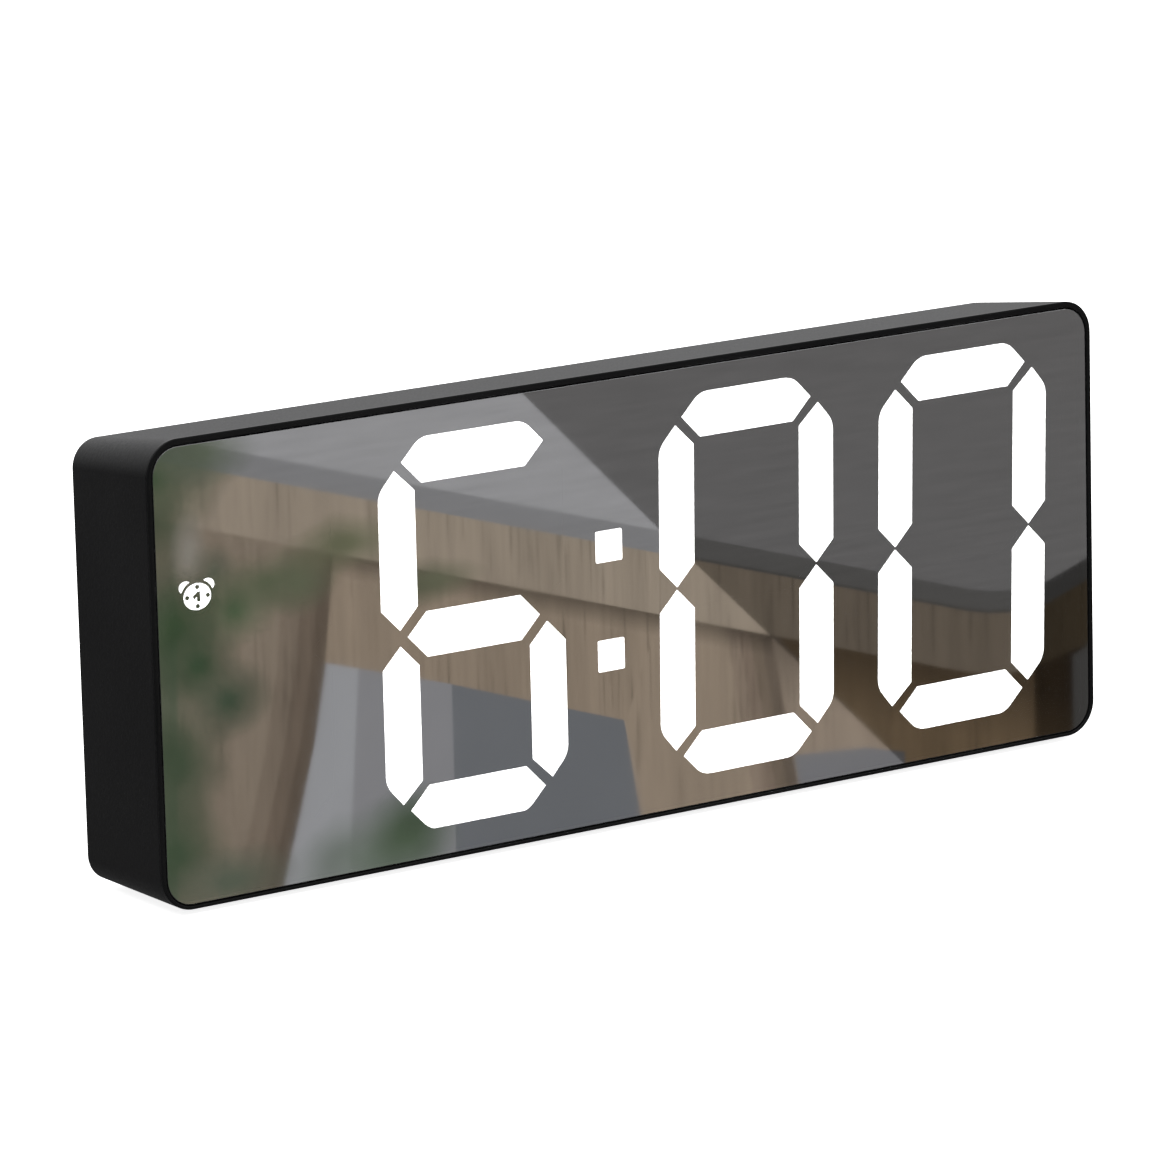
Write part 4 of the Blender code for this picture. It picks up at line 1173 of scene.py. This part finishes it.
# Its shapes from back to front: finish, tone (or a shadow's reach and share of light) and corners. The tones
# are painted light and shade, as the lens should show them
ROOM = {
    "under": ("timber", (137, 124, 110), [(-10, BELOW), (60, BELOW), (60, 30), (-10, 45)]),
    "under_brown": ("timber", (135, 116, 92),
                    [(24, 22), (45.1, 1.4), (73.5, BELOW), (RIGHT, BELOW), (RIGHT, 30), (24, 30)]),
    "under_right": ("timber", (77, 65, 50), rectangle((70.3, RIGHT), (BELOW, 30))),
    "panel": ("plain", (97, 99, 102), [(-57, 31.4), (-34, 25.5), (-4, 15), (3, BELOW), (-72, BELOW)]),
    "panel_pale": ("plain", (139, 140, 142), [(-57, 31.4), (-48.5, 30), (-48.5, BELOW), (-72, BELOW)]),
    "panel_middle": ("plain", (121, 121, 123),
                     [(-48.5, 30), (-33.2, 25.4), (-33.4, BELOW), (-53, BELOW), (-50.3, 10)]),
    "patch": ("plain", (108, 108, 110), [(25.9, 5.2), (39, 4.2), (46, 2.5), (46, BELOW), (31, BELOW)]),
    "under_shadow": ("shadow", (9.8, 0.49),
                     lowered([(22.3, 23.3)] + APRON_SIDE_EDGE[2:] + APRON_END_EDGE[1:], -1)
                     + [(RIGHT, BELOW), (22.3, BELOW)]),
    "leg_left": ("timber", (121, 110, 97), [(-77, 54)] + LEG_EDGE + [(-80, BELOW)]),
    # Painted shade: nested strips along the left leg's right edge, darker towards the edge
    "leg_left_light_shade": ("timber", (111, 100, 88), strip(LEG_EDGE, 8)),
    "leg_left_mid_shade": ("timber", (98, 87, 76), strip(LEG_EDGE, 5)),
    "leg_left_deep_shade": ("timber", (86, 76, 66), strip(LEG_EDGE, 2.4)),
    "leg_right": ("timber", (132, 119, 104),
                  [(-12, 36), (3, 31)] + RIGHT_LEG_EDGE + [(5, BELOW), (-3.7, 14.9)]),
    # Painted shade: nested strips along the right leg's right edge, darker towards the edge
    "leg_right_light_shade": ("timber", (122, 109, 96), strip(RIGHT_LEG_EDGE, 8)),
    "leg_right_mild_shade": ("timber", (113, 100, 88), strip(RIGHT_LEG_EDGE, 6)),
    "leg_right_mid_shade": ("timber", (102, 91, 79), strip(RIGHT_LEG_EDGE, 4)),
    "leg_right_deep_shade": ("timber", (91, 81, 71), strip(RIGHT_LEG_EDGE, 2)),
    "rail": ("timber", (131, 118, 103),
             [(-52, 46), (-12, 35), (3, 30), (-3.7, 14.9), (-34, 24.9), (-54, 30.8)]),
    "rail_shadow": ("shadow", (3.2, 0.45),
                    lowered([(-53, 46.1), (22.2, 23.3)], -1) + [(22.6, 19), (-53.5, 42)]),
    "apron": ("timber", (137, 126, 112), lowered(DESK_SIDE_EDGE, SLAB_THICKNESS) + APRON_SIDE_EDGE[::-1]),
    # Painted shade: the desk's end, darker than the apron as a face turned from the light
    "apron_end_in_shade": ("timber", (76, 67, 53), lowered(DESK_END_EDGE, SLAB_THICKNESS) + APRON_END_EDGE[::-1]),
    "window_edge": ("plain", (89, 89, 88), [(77.6, -4), (84, -4), (84, 14.5), (77.6, 12)]),
}
# Grey strips along the desk top's edge: tone, edge, and how far below it a strip starts and ends. The far
# strip and the end strip are darker with painted shade
STRIPS = {
    "strip": ((117, 117, 118), DESK_SIDE_EDGE, 0, SLAB_THICKNESS),
    "strip_far_in_shade": ((112, 112, 111), DESK_SIDE_EDGE[3:], 0, SLAB_THICKNESS),
    "strip_end_in_shade": ((73, 73, 72), DESK_END_EDGE, 0, SLAB_THICKNESS),
    "slab_joint": ((97, 96, 94), DESK_SIDE_EDGE[3:], 2.9, SLAB_THICKNESS + 0.05),
}
# Soft clumps of leaves and out-of-focus patches: tone, x, height, half width, half height
LEAVES = (
    ((82, 86, 71), -83, 22, 10, 36),
    ((93, 90, 76), -80, 51, 6.5, 9),
    ((59, 72, 53), -80.5, 60, 11, 10),
    ((84, 91, 77), -73, 62.5, 9, 4.5),
    ((125, 121, 112), -75.2, 49, 3, 5.5),
    ((84, 86, 73), -71.5, 46, 4, 4),
    ((80, 85, 66), -62, 43.5, 11, 4.5),
    ((84, 88, 70), -58, 42.5, 6, 4.5),
    ((70, 83, 61), -68, 40, 7.5, 5.5),
    ((55, 70, 49), -78, 39.5, 7, 7),
    ((54, 69, 50), -74.5, 33.5, 6.5, 7),
    ((60, 71, 56), -70, 28, 6.5, 5.5),
    ((62, 73, 56), -78.5, 20.5, 8, 9),
    ((60, 73, 55), -79, 8, 9, 8.5),
    ((82, 88, 75), -70.5, 3, 9, 5),
    ((98, 99, 78), -50, 47, 9, 3.8),
    ((92, 93, 75), -36, 39.6, 9, 3.0),
    ((96, 105, 95), -47, 2.5, 14, 7),
    ((72, 85, 68), -41.5, 4.5, 7.5, 6.5),
)
# Distances before the lens, in metres, and the distance from card to card
ROOM_DISTANCE = 2.0
DESK_TOP_DISTANCE = 1.887
LEAVES_DISTANCE = 1.885
WINDOW_SHADOW_DISTANCE = 1.2
SHAPE_STEP = 0.005
STRIP_STEP = 0.002
# The desk top's grain, which runs level, and the share of light in the shaded part of the room
LEVEL_GRAIN = (22.0, 1.0, 380.0)
GRAIN_TURN = 0.25
SHADED = (0.395, 0.385, 0.375, 1.0)


def apron_shadow(name, reach, dark, distance):
    """A shadow that is deepest along the apron's lower edge and fades out this far below it."""
    s = card_material(name)
    start, end = APRON_SIDE_EDGE[1:3]
    corner = seen_in_lens(*start, distance)
    along = seen_in_lens(*end, distance) - corner
    down = seen_in_lens(start[0], start[1] - reach, distance) - corner
    slope = along.z / along.x
    downwards = (-slope / down.z, 0.0, 1 / down.z)
    offset = s.vector_math("SUBTRACT", s.place, corner)
    below = s.vector_math("DOT_PRODUCT", offset, downwards, result="Value")
    return s.show(s.clear(s.span(below, 0.08, 1.0, dark, 1.0)))


def room_finish(kind, name, light, distance):
    """The material of one of the room's shapes."""
    if kind == "shadow":
        return apron_shadow(name, *light, distance)
    if kind == "timber":
        return timber(name, tone(*light))
    return emitting(name, tone(*light), (8.0, 1.0, 8.0), 0.05)


def window_shadow():
    """The part of the room that the light from the window doesn't reach, right of a slanting edge."""
    s = card_material("window_shadow")
    corners = SUNLIT_EDGE + [(RIGHT, ABOVE), (RIGHT, BELOW)]
    card("card_window_shadow", corners, WINDOW_SHADOW_DISTANCE, s.show(s.clear(SHADED)))


def mirrored_desk():
    """Glowing cards that paint the reflection of what stands before the clock, with its light and shade: a
    grey-topped wooden desk in front of foliage and a pale panel.
    """
    distance = ROOM_DISTANCE
    backdrop = emitting("room", tone(84, 92, 76), (6.0, 1.0, 6.0), 0.25)
    card("card_room", rectangle((LEFT, RIGHT), (BELOW, ABOVE)), distance, backdrop)
    for name, (kind, light, corners) in ROOM.items():
        distance -= SHAPE_STEP
        card(f"card_{name}", corners, distance, room_finish(kind, name, light, distance))
    for name, (light, edge, start, end) in STRIPS.items():
        distance -= STRIP_STEP
        finish = emitting(name, tone(*light), LEVEL_GRAIN, 0.06, GRAIN_TURN)
        card(f"card_{name}", lowered(edge, start) + lowered(edge, end)[::-1], distance, finish)
    corners = DESK_SIDE_EDGE + DESK_END_EDGE[1:] + [(RIGHT, ABOVE), (DESK_SIDE_EDGE[0][0], ABOVE)]
    finish = emitting("desk_top", tone(140, 140, 141), LEVEL_GRAIN, 0.09, GRAIN_TURN)
    card("card_desk_top", corners, DESK_TOP_DISTANCE, finish)
    distance = LEAVES_DISTANCE
    for index, (light, *place) in enumerate(LEAVES, 1):
        distance -= SHAPE_STEP
        foliage(f"leaves_{index}", *place, tone(*light), distance)
    window_shadow()


# ---------------------------------------------------------------- the stage

def floor():
    """A plain pale table top, lit from below as on a light table, that mirrors don't see."""
    bm = bmesh.new()
    reach = (-6.0, 6.0)
    bm.faces.new([bm.verts.new((x, y, 0.0)) for x, y in rectangle(reach, reach)])
    made = link_mesh("floor", bm)
    s = material("pale_floor")
    grain = s.noise(60.0, 3.0)
    s.set(
        Base_Color=s.blend(grain, (0.86, 0.86, 0.86), (0.9, 0.9, 0.9)),
        Roughness=0.9,
        Emission_Color=WHITE,
        Emission_Strength=0.85,
        Specular_IOR_Level=0.0,
    )
    made.data.materials.append(s.owner)
    made.visible_glossy = False


def world():
    """White where the camera looks past the floor. All else sees a soft grey studio, darker on the left."""
    s = Shading(bpy.data.worlds.new("studio"), "Generated")
    bpy.context.scene.world = s.owner
    greys = ((0.3, 0.13), (0.44, 0.1), (0.5, 0.36), (0.58, 0.76), (0.75, 0.95))
    stops = [(position, (level, level, level * 1.01)) for position, level in greys]
    studio = s.tree.nodes["Background"]
    s.fill(studio, Color=s.ramp(s.span(s.axis("Z"), -1.0, 1.0, 0.0, 1.0), stops))
    s.fill(studio, Strength=s.span(s.axis("X"), -0.7, 0.1, 0.45, 1.0))
    white = s.node("ShaderNodeBackground", Color=WHITE)
    to_camera = s.node("ShaderNodeLightPath").outputs["Is Camera Ray"]
    shown = s.mixed(to_camera, studio.outputs["Background"], white.outputs["Background"])
    s.show(shown, "World Output")


def key_light():
    data = bpy.data.lights.new("key_light", "SUN")
    data.energy = 2.6
    data.angle = math.radians(70)
    placed("key_light", data).rotation_euler = (math.radians(12), math.radians(-14), 0)


def camera():
    data = bpy.data.cameras.new("camera")
    data.sensor_width = 36.0
    data.lens = CAMERA_LENS
    data.clip_start = 0.01
    data.clip_end = 20.0
    made = placed("camera", data)
    turn = Matrix.Rotation(math.radians(-CAMERA_AZIMUTH), 4, "Z")
    tilt = Matrix.Rotation(math.radians(90 - CAMERA_ELEVATION), 4, "X")
    roll = Matrix.Rotation(math.radians(CAMERA_ROLL), 4, "Z")
    made.matrix_world = Matrix.Translation(CAMERA_PLACE) @ turn @ tilt @ roll
    bpy.context.scene.camera = made


dress_kept_nodes()
case_shell()
feet()
lens()
lit_display()
alarm_sign()
border_print()
light_chips()
rear_shell()
door()
keys()
inlet()
screws()
cells()
springs()
mirrored_desk()
floor()
world()
key_light()
camera()
bpy.context.scene.view_settings.view_transform = "Standard"
